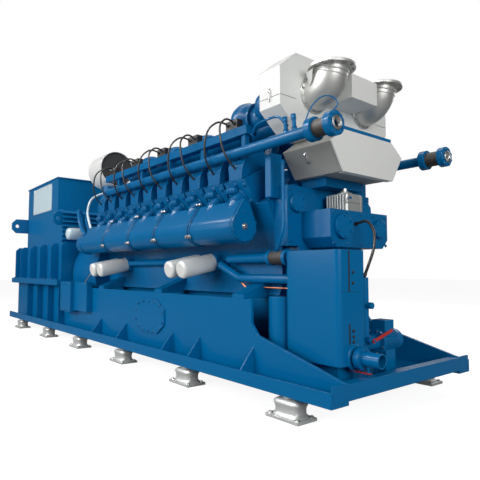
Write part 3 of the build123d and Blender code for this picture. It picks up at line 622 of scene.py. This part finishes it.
def mixer_block():
    """Gas mixer: two stacked rounded-square blocks with a joint, upright slats on two sides, a top flange and a
    hexagon fitting."""
    x, y = 2.640, -0.010
    square, rounder = 0.28, 0.9
    stacks = (
        (square, ((0.082, 1.185), (0.084, 1.188), (0.084, 1.238), (0.082, 1.241))),
        (square, ((0.078, 1.2405), (0.078, 1.2465))),
        (square, ((0.082, 1.246), (0.084, 1.249), (0.084, 1.301), (0.082, 1.306))),
        (rounder, ((0.046, 1.305), (0.048, 1.308), (0.048, 1.318), (0.044, 1.321), (0.026, 1.322),
                   (0.026, 1.334))),
    )
    parts = [stacked([(half, half, power, height) for half, height in rows], (x, y)) for power, rows in stacks]
    wide = np.array([0.0045, 0, 0])
    for k in range(-3, 4):
        for sign in (-1, 1):
            at = np.array([x + k * 0.022, y + sign * 0.083, 1.192])
            deep = np.array([0, sign * 0.018, 0])
            corners = [at - wide, at + wide, at + wide + deep, at - wide + deep]
            parts.append(plate(corners[::sign], (0, 0, 1), 0.108))
    block = mesh_piece("mixer_block", *joined(parts), ALUMINIUM, smooth=False)
    soft_edges(block, 0.0012, 2, 40)
    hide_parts("gas_mixer")
    nut = [np.column_stack([arc((x, y), radius, 6), np.full(6, height)])
           for radius, height in ((0.018, 1.334), (0.018, 1.352), (0.013, 1.354))]
    mesh_piece("mixer_nut", np.concatenate(nut), ring_faces(3, 6) + [list(range(12, 18))], STEEL, smooth=False)


def exhaust_rings():
    """Two rolled beads on each exhaust bend, the ring where the bend leaves its shroud and the rim of its top
    flange, and a small four-sided plate beside the near bend."""
    parts = []
    centre = np.array([2.618, BEND_Y, FLANGE_TOP])
    t = np.linspace(0, np.pi, 7)
    for degrees, wide, tall in ((79, 0.006, 0.007), (72, 0.004, 0.004)):
        turn = math.radians(degrees)
        spot = centre + 0.134 * np.array([math.sin(turn), 0, -math.cos(turn)])
        bead = np.stack([0.1078 + tall * np.sin(t), -wide * np.cos(t)], -1)
        parts.append(turned(bead, spot, (math.cos(turn), 0, math.sin(turn)), 56))
    ring = [(0.107, 0.0), (0.1235, 0.0), (0.1235, 0.010), (0.1215, 0.012), (0.112, 0.012), (0.110, 0.018),
            (0.1075, 0.019)]
    parts.append(turned(ring, (2.594, BEND_Y, SHROUD_OPENING), (1, 0, 0), 56))
    rim = [(0.1500, -0.016), (0.1510, -0.010), (0.1510, -0.003), (0.1495, -0.0004)]
    parts.append(turned(rim, (FLANGE_X, BEND_Y, FLANGE_TOP), (0, 0, 1), 64))
    for piece in pair("exhaust_rings", *joined(parts), STAINLESS):
        split_edges(piece, 40)
    corners = [(2.640, -0.372, 2.050), (2.706, -0.382, 2.062), (2.690, -0.376, 1.990), (2.668, -0.370, 1.960)]
    mesh_piece("bend_gusset_plate", *plate(corners, (0, -1, 0), 0.003), SHEET, smooth=False)


def turbo_casings():
    """Compressor casings behind the shrouds: a rounded volute, its inlet lip and the joint band, and the bent
    outlet that leads from it."""
    profile = [(0.0, 0.0), (0.052, 0.0), (0.056, 0.006), (0.056, 0.020), (0.060, 0.034), (0.072, 0.042),
               (0.090, 0.050), (0.104, 0.066), (0.111, 0.090), (0.112, 0.112), (0.106, 0.136), (0.094, 0.150),
               (0.090, 0.152), (0.098, 0.154), (0.098, 0.168), (0.090, 0.170), (0.090, 0.186)]
    first, other = pair("turbo_casing", *turned(profile, (2.220, -0.395, 1.912), (1, 0, 0), 48), BLUE_CAST)
    split_edges(first, 45)
    split_edges(other, 45)
    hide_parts("turbochargers")
    line = curve_through([(2.31, -0.300, 1.83), (2.32, -0.26, 1.77), (2.33, -0.20, 1.73), (2.34, -0.10, 1.71)], 8)
    pair("turbo_outlet", *tube(line, 0.045, 20), BLUE_CAST)


def exhaust_domes():
    """Domed sections of the exhaust pipe in the vee, a profile that rises and falls along the pipe, and the large
    casing where the pipe meets its turbocharger."""
    t = np.linspace(0, np.pi, 13)
    dome = np.stack([0.080 + 0.058 * np.sin(t) ** 0.6, -0.100 * np.cos(t)], -1)
    parts = [turned(dome, (FIRST_CYLINDER - (index + 1.5) * PITCH, -0.190, 1.850), (1, 0, 0), 36)
             for index in range(0, 8, 2)]
    casing = [(0.0, 0.0), (0.080, 0.0), (0.082, 0.020), (0.120, 0.030), (0.150, 0.056), (0.160, 0.095),
              (0.156, 0.135), (0.140, 0.170), (0.108, 0.196), (0.104, 0.202), (0.132, 0.204), (0.134, 0.208),
              (0.134, 0.226), (0.132, 0.230), (0.104, 0.232), (0.100, 0.300), (0.104, 0.420), (0.0, 0.421)]
    parts.append(turned(casing, (1.795, -0.215, 1.935), (1, 0, 0), 44))
    for piece in pair("exhaust_domes", *joined(parts), BLUE_CAST):
        split_edges(piece, 42)


def shroud_seams():
    """Joint line on two faces of each heat shroud, and the folded front plate of the hood that stands proud of
    its body, with the lip under it."""
    low, high = 1.8885, 1.8912
    seam = [plate([(2.410, -0.560, low), (2.592, -0.560, low), (2.592, -0.560, high), (2.410, -0.560, high)],
                  (0, -1, 0), 0.0012),
            plate([(2.594, -0.558, low), (2.594, -0.420, low), (2.594, -0.420, high), (2.594, -0.558, high)],
                  (1, 0, 0), 0.0012)]
    pair("shroud_seam", *joined(seam), NEAR_BLACK_AND_SLOT_SHADE, smooth=False)
    half = [(0.255, 1.669), (0.375, 1.580), (0.260, 1.406)]
    corners = [(2.826, y, z) for y, z in half] + [(2.826, -y, z) for y, z in half[::-1]]
    front = mesh_piece("hood_front_plate", *plate(corners, (1, 0, 0), 0.012), SHEET, smooth=False)
    soft_edges(front, 0.002)
    corners = [(2.790, -0.250, 1.4085), (2.829, -0.250, 1.4085), (2.829, 0.250, 1.4085), (2.790, 0.250, 1.4085)]
    mesh_piece("hood_lip", *plate(corners, (0, 0, -1), 0.003), SHEET, smooth=False)


def corner_covers():
    """Upright cover beside the gear case: a box with rounded edges."""
    x0, x1, y0, y1, low = 2.389, 2.446, -0.505, -0.400, 1.270
    box = plate([(x0, y0, low), (x1, y0, low), (x1, y1, low), (x0, y1, low)], (0, 0, 1), 0.290)
    for piece in pair("corner_cover", *box, BLUE, smooth=False):
        soft_edges(piece, 0.008, 3)


charge_air_pipe()
intake_runners()
cast_covers()
isolator_bells()
mixer_block()
exhaust_rings()
turbo_casings()
exhaust_domes()
shroud_seams()
corner_covers()


# Small pieces


def facing_x(pairs, x):
    """(y, z) pairs as points on a plane square to X."""
    return [(x, y, z) for y, z in np.asarray(pairs)]


def both_sides(places):
    """The places, then the same places on side b."""
    return list(places) + [(x, -y, z) for x, y, z in places]


def rounded_plate(name, centre, half_across, half_up, across, up, thickness, corner, material):
    """A plate with rounded corners and a softened rim: the outline is a rectangle whose corners are quarter
    circles, carried outwards in rows, the last two a little smaller. The side faces point inwards."""
    across = np.asarray(across, float)
    up = np.asarray(up, float)
    out = np.cross(across, up)
    angle = np.radians(np.linspace(0, 90, 7))
    quarters = []
    for quarter, (i, j) in enumerate(((1, 1), (-1, 1), (-1, -1), (1, -1))):
        turn = angle + quarter * np.pi / 2
        quarters.append(np.stack([i * (half_across - corner) + corner * np.cos(turn),
                                  j * (half_up - corner) + corner * np.sin(turn)], -1))
    outline = np.concatenate(quarters)
    scale = np.array([half_across, half_up])
    rows = []
    for inset, height in ((0, 0), (0, 0.7), (0.2, 0.93), (0.6, 1.0)):
        ring = outline * (1 - inset * thickness / scale)
        rows.append(np.asarray(centre) + ring[:, :1] * across + ring[:, 1:] * up + height * thickness * out)
    first, last = end_rings(len(rows), len(outline))
    faces = [face[::-1] for face in ring_faces(len(rows), len(outline))] + [last, first[::-1]]
    mesh_piece(name, np.concatenate(rows), faces, material, smooth=False)


def terminal_panel():
    """Bare pale panel on the near side of the terminal box, with its rim screws."""
    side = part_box("terminal_box")[0][1] + 0.010
    middle = ((-2.784 - 1.950) / 2, side, 1.815)
    rounded_plate("terminal_panel_a", middle, 0.417, 0.185, (1, 0, 0), (0, 0, 1), 0.005, 0.012, PANEL)
    screws = [(x, side - 0.005, z) for x in np.linspace(-2.755, -1.979, 6) for z in (1.648, 1.982)]
    bolt_heads("terminal_panel_screws", screws, (0, -1, 0), 0.006, 0.004, STEEL)


def band_bolts():
    """Bolts that draw the two bands of each manifold joint together, above the crown and below the round, and
    the bolts of the end cap."""
    x_places = [x + step for x in BAND_PLACES for step in (-0.018, 0.018)]
    crown = [(x, -0.600, 1.282) for x in x_places]
    bolt_heads("manifold_band_bolts", both_sides(crown), (0, 0, 1), 0.011, 0.012, STEEL)
    for side, sign in (("a", -1), ("b", 1)):
        low = [(x, sign * 0.690, 1.045) for x in x_places]
        bolt_heads("manifold_band_nuts_" + side, low, (0, sign * 0.9, -0.35), 0.011, 0.014, STEEL)
    bolt_heads("manifold_cap_bolts", both_sides([(2.285, *MANIFOLD)]), (1, 0, 0), 0.016, 0.014, STEEL)
    rim = facing_x(arc(MANIFOLD, 0.097, 10, 18), 2.285)
    bolt_heads("manifold_cap_screws", both_sides(rim), (1, 0, 0), 0.0065, 0.006, BLUE)


def flange_bolts():
    """Bolts round the water pipe's flanges, the exhaust rings and the joint flanges."""
    water_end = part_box("coolant_end_flanges")[1][0] - 0.006
    rim = arc(WATER_PIPE, 0.053, 8, 22.5)
    bolt_heads("water_flange_bolts", both_sides(facing_x(rim, water_end)), (1, 0, 0), 0.0085, 0.008, BLUE_CAST)
    bolt_heads("water_flange_nuts", both_sides(facing_x(rim, 2.868)), (-1, 0, 0), 0.0085, 0.008, BLUE_CAST)
    face = [(0.0275, -0.03), (0.0275, 0.0015), (0.040, 0.0015), (0.040, -0.002)]
    faces = joined([turned(face, spot, (1, 0, 0), 36) for spot in both_sides([(water_end + 0.006, *WATER_PIPE)])])
    mesh_piece("water_flange_faces", *faces, STEEL)
    rim = arc((BEND_Y, SHROUD_OPENING), 0.1155, 14, 12.8)
    bolt_heads("exhaust_ring_bolts", both_sides(facing_x(rim, 2.608)), (1, 0, 0), 0.0050, 0.006, STEEL)
    rim = [(x, y, FLANGE_TOP - 0.014) for x, y in arc((FLANGE_X, BEND_Y), 0.134, 12, 15)]
    bolt_heads("exhaust_flange_nuts", both_sides(rim), (0, 0, -1), 0.0085, 0.008, STEEL)
    rim = facing_x(arc((-0.424, 0.886), 0.045, 6, 30), 2.380 - 0.028)
    bolt_heads("tank_pipe_bolts", rim, (-1, 0, 0), 0.006, 0.006, STEEL, washer=False)
    rim = facing_x(arc(DRAIN, 0.052, 8, 22.5), 3.038)
    bolt_heads("drain_flange_bolts", rim, (1, 0, 0), 0.006, 0.006, BLUE_CAST, washer=False)


def hatch_bolts():
    """Bolts round an octagonal hatch on each side and on the bracket plate by the flywheel housing."""
    spots = [(0.960 + 0.09 * k, z) for k in range(3) for z in (0.305, 0.545)]
    spots += [(x, z) for x in (0.822, 1.278) for z in (0.385, 0.465)]
    spots += [(x, z) for x in (0.868, 1.232) for z in (0.330, 0.520)]
    for side, sign in (("a", -1), ("b", 1)):
        places = [(x, sign * 0.612, z) for x, z in spots]
        bolt_heads("hatch_bolts_" + side, places, (0, sign, 0), 0.010, 0.009, BLUE_CAST)
    places = [(x, -0.700, z) for x in (-0.88, -0.80, -0.72, -0.64, -0.60) for z in (0.372, 0.658)]
    bolt_heads("bracket_bolts", places, (0, -1, 0), 0.009, 0.008, BLUE_CAST)


def isolator_bolts():
    """Anchor bolts in each isolator's plate, and the bolts along the alternator's split flange."""
    anchors = [(x + i * 0.1035, ISOLATOR_ROW + j * 0.0545, 0.017)
               for x in ISOLATORS for i in (-1, 1) for j in (-1, 1)]
    bolt_heads("anchor_bolts", both_sides(anchors), (0, 0, 1), 0.011, 0.010, STEEL)
    rail = [(x, -0.678, 0.698) for x in np.arange(-3.02, -1.06, 0.131)]
    bolt_heads("split_flange_bolts", both_sides(rail), (0, 0, 1), 0.012, 0.012, BLUE_CAST)


def latch(name, at, across, up, length):
    """Over-centre latch: a base strap and a lever, each a plate with rounded corners, and a bent hook."""
    across = np.asarray(across, float)
    up = np.asarray(up, float)
    out = np.cross(across, up)
    at = np.asarray(at, float)
    rounded_plate(name + "_strap", at, 0.012, length / 2, across, up, 0.004, 0.006, STEEL)
    rounded_plate(name + "_lever", at - up * length * 0.12 + out * 0.004, 0.008, length * 0.26, across, up, 0.007,
                  0.005, STEEL)
    hook = curve_through([at + up * length * 0.12 + out * 0.008, at + up * length * 0.30 + out * 0.016,
                          at + up * length * 0.46 + out * 0.006], 6)
    mesh_piece(name + "_hook", *tube(hook, 0.003, 8), STEEL)


def hose(name, points, radius, material, ends=True):
    """A round hose through its points; with ends, it has a short collar at each end."""
    line = curve_through(points, 10)
    parts = [tube(line, radius, 14)]
    if ends:
        for tip, inner in ((line[0], line[2]), (line[-1], line[-3])):
            away = inner - tip
            away /= np.linalg.norm(away)
            parts.append(tube(np.stack([tip, tip + away * radius * 2.4]), radius * 1.35, 14))
    mesh_piece(name, *joined(parts), material)


def hoses():
    """Two light and three blue hoses beside the flywheel housing, and the thin pipes along the engine and at its
    front."""
    hose("grey_hose_rear", [(-0.62, -0.30, 1.72), (-0.66, -0.44, 1.64), (-0.64, -0.50, 1.50), (-0.56, -0.52, 1.38),
                            (-0.44, -0.53, 1.24)], 0.013, PANEL)
    hose("grey_hose_front", [(-0.30, -0.30, 1.70), (-0.26, -0.44, 1.66), (-0.23, -0.50, 1.56), (-0.27, -0.50, 1.46),
                             (-0.36, -0.44, 1.38)], 0.012, PANEL)
    hose("blue_hose_long", [(-1.02, -0.38, 1.22), (-0.98, -0.44, 1.46), (-0.92, -0.50, 1.52), (-0.80, -0.54, 1.42),
                            (-0.66, -0.56, 1.28), (-0.50, -0.57, 1.19)], 0.020, BLUE)
    hose("blue_hose_short", [(-1.02, -0.30, 1.30), (-0.96, -0.36, 1.44), (-0.82, -0.44, 1.46), (-0.66, -0.50, 1.36),
                             (-0.48, -0.53, 1.23)], 0.018, BLUE)
    hose("blue_hose_upper", [(-1.02, -0.20, 1.27), (-0.94, -0.24, 1.56), (-0.80, -0.26, 1.66), (-0.70, -0.24, 1.70)],
                           0.024, BLUE)
    hose("front_thin_pipe", [(2.53, -0.476, 1.50), (2.53, -0.476, 1.36), (2.53, -0.476, 1.22), (2.53, -0.476, 1.08),
                             (2.51, -0.476, 1.02), (2.46, -0.455, 0.955), (2.42, -0.440, 0.922)], 0.010, BLUE)
    hose("front_hose", [(2.76, -0.06, 1.10), (2.86, -0.07, 1.11), (2.92, -0.085, 1.04), (2.935, -0.11, 0.94),
                        (2.940, -0.17, 0.84), (2.945, -0.225, 0.765)], 0.009, BLACK)
    hose("copper_pipe", [(1.86, -0.40, 0.800), (1.98, -0.42, 0.802), (2.10, -0.425, 0.690), (2.30, -0.425, 0.690),
                         (2.56, -0.425, 0.690)], 0.006, COPPER)
    hose("filter_drain_line", [(-0.06, -0.62, 0.83), (-0.12, -0.66, 0.76), (-0.20, -0.672, 0.70),
                               (-0.26, -0.655, 0.665)], 0.006, STEEL)
    hose("upper_blue_line", [(2.31, -0.54, 1.70), (2.38, -0.57, 1.735), (2.48, -0.582, 1.745), (2.60, -0.585, 1.735),
                             (2.68, -0.588, 1.66)], 0.008, BLUE)
    for k, x in enumerate((2.675, 2.745)):
        hose("vent_stub_%d" % k, [(x, -0.590, 1.61), (x - 0.004, -0.590, 1.66), (x - 0.012, -0.590, 1.715)], 0.012,
             BLUE)
    hose("flange_sensor_lead", [(2.80, -0.56, 1.66), (2.79, -0.50, 1.76), (2.80, -0.42, 1.84), (2.83, -0.36, 1.85),
                                (2.86, -0.34, 1.80), (2.84, -0.40, 1.72)], 0.004, BLUE, ends=False)


def insulated_end():
    """Pale lagged pipe end beside the flywheel housing: a round-nosed profile turned about its line."""
    profile = [(0.0, -0.01), (0.050, -0.008), (0.066, 0.004), (0.072, 0.025), (0.073, 0.10), (0.073, 0.18),
               (0.0, 0.18)]
    mesh_piece("lagged_pipe_end", *turned(profile, (-1.0, -0.60, 1.245), (0, 1, 0), 32), PANEL)


def tank_details():
    """Bolts beside the slots of the tank, its two upright slots and its seam, and the pad at its outlet. The two
    slots are thin near-black plates on the face: painted shade in place of recessed slots.
    """
    face, edge = 2.980, -0.417
    places = [(face, -0.380, z) for z in (0.794, 0.733, 0.467, 0.435, 0.407)]
    bolt_heads("tank_bolts", places, (1, 0, 0), 0.009, 0.008, NEAR_BLACK_AND_SLOT_SHADE, washer=False)
    parts = []
    for y0, y1, low, high, depth in ((edge, -0.405, 0.684, 0.915, 0.0012), (edge, -0.405, 0.394, 0.508, 0.0012),
                                     (-0.485, -0.345, 0.6845, 0.6865, 0.0008)):
        parts.append(plate([(face, y0, low), (face, y1, low), (face, y1, high), (face, y0, high)], (1, 0, 0), depth))
    mesh_piece("tank_slots", *joined(parts), NEAR_BLACK_AND_SLOT_SHADE, smooth=False)
    pad = [(0.0, 0.010), (0.060, 0.010), (0.072, 0.006), (0.076, 0.0)]
    mesh_piece("tank_outlet_pad", *turned(pad, (2.976, *DRAIN), (1, 0, 0), 36), BLUE)


def motor_details():
    """Cooling fins along the pump's motor, left out at its top and bottom, and the pump's flange bolts."""
    parts = []
    rear, front = (0, -0.088, 0), (0, 0.062, 0)
    faces = [[0, 1, 2, 3], [7, 6, 5, 4], [0, 4, 5, 1], [1, 5, 6, 2], [2, 6, 7, 3], [3, 7, 4, 0]]
    for turn in np.radians(np.arange(0, 360, 15)):
        if abs(turn - np.pi / 2) < 0.75 or abs(turn - 3 * np.pi / 2) < 0.7:
            continue
        out = np.array([np.cos(turn), 0, np.sin(turn)])
        side = np.array([-np.sin(turn), 0, np.cos(turn)]) * 0.0016
        root, tip = MOTOR + out * 0.059, MOTOR + out * 0.070
        corners = [spot for at in (root, tip)
                   for spot in (at - side + rear, at - side + front, at + side + front, at + side + rear)]
        parts.append((np.array(corners), faces))
    mesh_piece("motor_fins", *joined(parts), BLUE, smooth=False)
    rim = [(x, -0.108, z) for x, z in arc(MOTOR[::2], 0.068, 8, 22.5)]
    bolt_heads("pump_flange_bolts", rim, (0, -1, 0), 0.006, 0.006, STEEL, washer=False)


def coil_plugs():
    """Moulded plugs on each coil where its two leads leave: turned caps with ribs."""
    profile = [(0.0, 0.022), (0.012, 0.020), (0.014, 0.012), (0.018, 0.010), (0.018, 0.0), (0.020, -0.002),
               (0.020, -0.02)]
    places = [(FIRST_CYLINDER - (index + 0.5) * PITCH + step, sign * -0.500, 1.844, sign)
              for index in range(0, 10, 2) for step in (-0.036, 0.036) for sign in (1, -1)]
    parts = [turned(profile, (x, y, z), (0, -sign, 0), 14) for x, y, z, sign in places]
    mesh_piece("coil_plugs", *joined(parts), BLACK)


def head_details():
    """Studs and a round port coupling on every head, and the screws of each valve cover."""
    face = CRANK + UPWARD * 0.9884 + OUTWARD * 0.084
    other = CRANK + UPWARD * 1.0771 - OUTWARD * 0.0445
    run = (other - face) / np.linalg.norm(other - face)
    normal = np.array([0, -run[2], run[1]])
    coupling = [(0.0, 0.034), (0.020, 0.033), (0.024, 0.028), (0.024, 0.012), (0.031, 0.010), (0.033, 0.0)]
    for side, sign in (("a", 1), ("b", -1)):
        flip = np.array([1, sign, 1])
        studs = []
        screws = []
        couplings = []
        for x in CYLINDERS:
            for dx, rise in ((-0.085, 0.745), (0.085, 0.745), (-0.085, 0.862), (0.085, 0.862), (0.0, 0.872)):
                studs.append(((x + dx, 0, 0) + CRANK + UPWARD * rise + OUTWARD * 0.150) * flip)
            for dx, rise in ((-0.066, 0.125), (0.066, 0.125), (0.0, 0.030)):
                screws.append(((x + dx, 0, 0) + face + run * rise) * flip)
            spot = ((x - 0.058, 0, 0) + CRANK + UPWARD * 0.815 + OUTWARD * 0.150) * flip
            couplings.append(turned(coupling, spot, OUTWARD * flip, 18))
        bolt_heads("head_bolts_" + side, studs, OUTWARD * flip, 0.011, 0.012, BLUE_CAST)
        bolt_heads("cover_screws_" + side, screws, normal * flip, 0.009, 0.009, BLUE_CAST)
        mesh_piece("port_couplings_" + side, *joined(couplings), BLUE)


def front_details():
    """Bolts round the gear case's covers, its rim and the nose's face, and the rod from the gas mixer."""
    places = []
    for y, z, radius, x in ((-0.355, 1.240, 0.050, 2.550), (0.355, 1.240, 0.050, 2.550),
                            (-0.190, 1.080, 0.066, 2.786), (0.190, 1.080, 0.051, 2.786)):
        places += facing_x(arc((y, z), radius, 6, 30), x)
    bolt_heads("gear_cover_bolts", places, (1, 0, 0), 0.007, 0.007, BLUE_CAST, washer=False)
    rim = [(2.760, y, z) for y in (-0.275, -0.14, 0.0, 0.14, 0.275) for z in (0.972, 1.165)]
    bolt_heads("nose_bolts", rim, (1, 0, 0), 0.008, 0.008, BLUE_CAST)
    edge = [(2.520, y, z) for y in (-0.405, 0.405) for z in (0.99, 1.08, 1.17, 1.325)]
    edge += [(2.520, y, 1.325) for y in (-0.30, -0.15, 0.15, 0.30)]
    bolt_heads("gear_case_bolts", edge, (1, 0, 0), 0.008, 0.008, BLUE_CAST)
    rod = tube([(2.690, -0.030, 1.285), (2.735, -0.075, 1.278), (2.780, -0.120, 1.262)], 0.007)
    mesh_piece("mixer_rod", *rod, BLUE)


COPPER = finish("copper_line", (0.45, 0.17, 0.08), (0.30, 0.12, 0.07), 0.32, metallic=0.9, drift=0.6, scale=30.0,
                dust=0.0, edge=0.2)

terminal_panel()
band_bolts()
flange_bolts()
hatch_bolts()
isolator_bolts()
latch("shroud_latch", (2.500, -0.560, 1.905), (1, 0, 0), (0, 0, 1), 0.085)
latch("hood_latch", (2.600, -0.330, 1.520), (1, 0, 0), (0, -0.485, 0.875), 0.075)
hoses()
insulated_end()
tank_details()
motor_details()
coil_plugs()
head_details()
front_details()


# Stage and light


def floor():
    """A plain pale floor that glows for the camera alone, so that it melts into the surround."""
    mesh = bpy.data.meshes.new("floor")
    reach = 40.0
    mesh.from_pydata([(-reach, -reach, 0), (reach, -reach, 0), (reach, reach, 0), (-reach, reach, 0)], [],
                     [(0, 1, 2, 3)])
    ground = bpy.data.objects.new("floor", mesh)
    bpy.context.scene.collection.objects.link(ground)
    material = bpy.data.materials.new("pale_floor")
    material.use_nodes = True
    tree = material.node_tree
    shader = set_inputs(tree.nodes["Principled BSDF"], Base_Color=(0.30, 0.30, 0.30, 1), Roughness=0.9,
                        Specular_IOR_Level=0.1, Emission_Color=(1, 1, 1, 1))
    lift = new_node(tree, "Math")
    lift.operation = "MULTIPLY"
    lift.inputs[1].default_value = 0.90
    tree.links.new(new_node(tree, "LightPath").outputs["Is Camera Ray"], lift.inputs[0])
    tree.links.new(lift.outputs[0], shader.inputs["Emission Strength"])
    mesh.materials.append(material)


def surround():
    """A white surround: full strength for camera rays and rays through glass, weak for all other light."""
    world = bpy.data.worlds.new("surround")
    bpy.context.scene.world = world
    world.use_nodes = True
    tree = world.node_tree
    background = set_inputs(tree.nodes["Background"], Color=(1, 1, 1, 1))
    path = new_node(tree, "LightPath")
    seen = new_node(tree, "Math")
    seen.operation = "MAXIMUM"
    tree.links.new(path.outputs["Is Camera Ray"], seen.inputs[0])
    tree.links.new(path.outputs["Is Transmission Ray"], seen.inputs[1])
    tree.links.new(spread(tree, seen.outputs[0], To_Min=0.14, To_Max=1.0), background.inputs["Strength"])


def lamps():
    """Soft rectangular lamps of (name, place, aim, size, power); the strip shows only in reflections."""
    for name, place, aim, size, power in (
        ("side_key", (-1.0, -8.0, 3.2), (0, 0, 0.9), (9.0, 4.0), 560),
        ("over_head", (0.5, 0.0, 7.0), (0.3, 0, 0.8), (7.0, 3.0), 200),
        ("end_fill", (8.5, -2.0, 2.6), (1.5, 0, 1.1), (4.0, 3.0), 230),
        ("far_fill", (1.0, 7.0, 4.0), (0, 0, 1.0), (6.0, 3.0), 150),
        ("shine_strip", (0.5, -5.0, 6.0), (0.5, 0, 1.2), (11.0, 0.25), 1100),
    ):
        lamp = bpy.data.lights.new(name, "AREA")
        lamp.shape = "RECTANGLE"
        lamp.size, lamp.size_y = size
        lamp.energy = power
        holder = bpy.data.objects.new(name, lamp)
        holder.visible_diffuse = name != "shine_strip"
        matrix = np.eye(4)
        matrix[:3, 0], matrix[:3, 1], matrix[:3, 2] = basis(np.asarray(place) - np.asarray(aim))
        matrix[:3, 3] = place
        holder.matrix_world = Matrix(matrix.tolist())
        bpy.context.scene.collection.objects.link(holder)


floor()
surround()
lamps()
bpy.context.scene.view_settings.view_transform = "Standard"
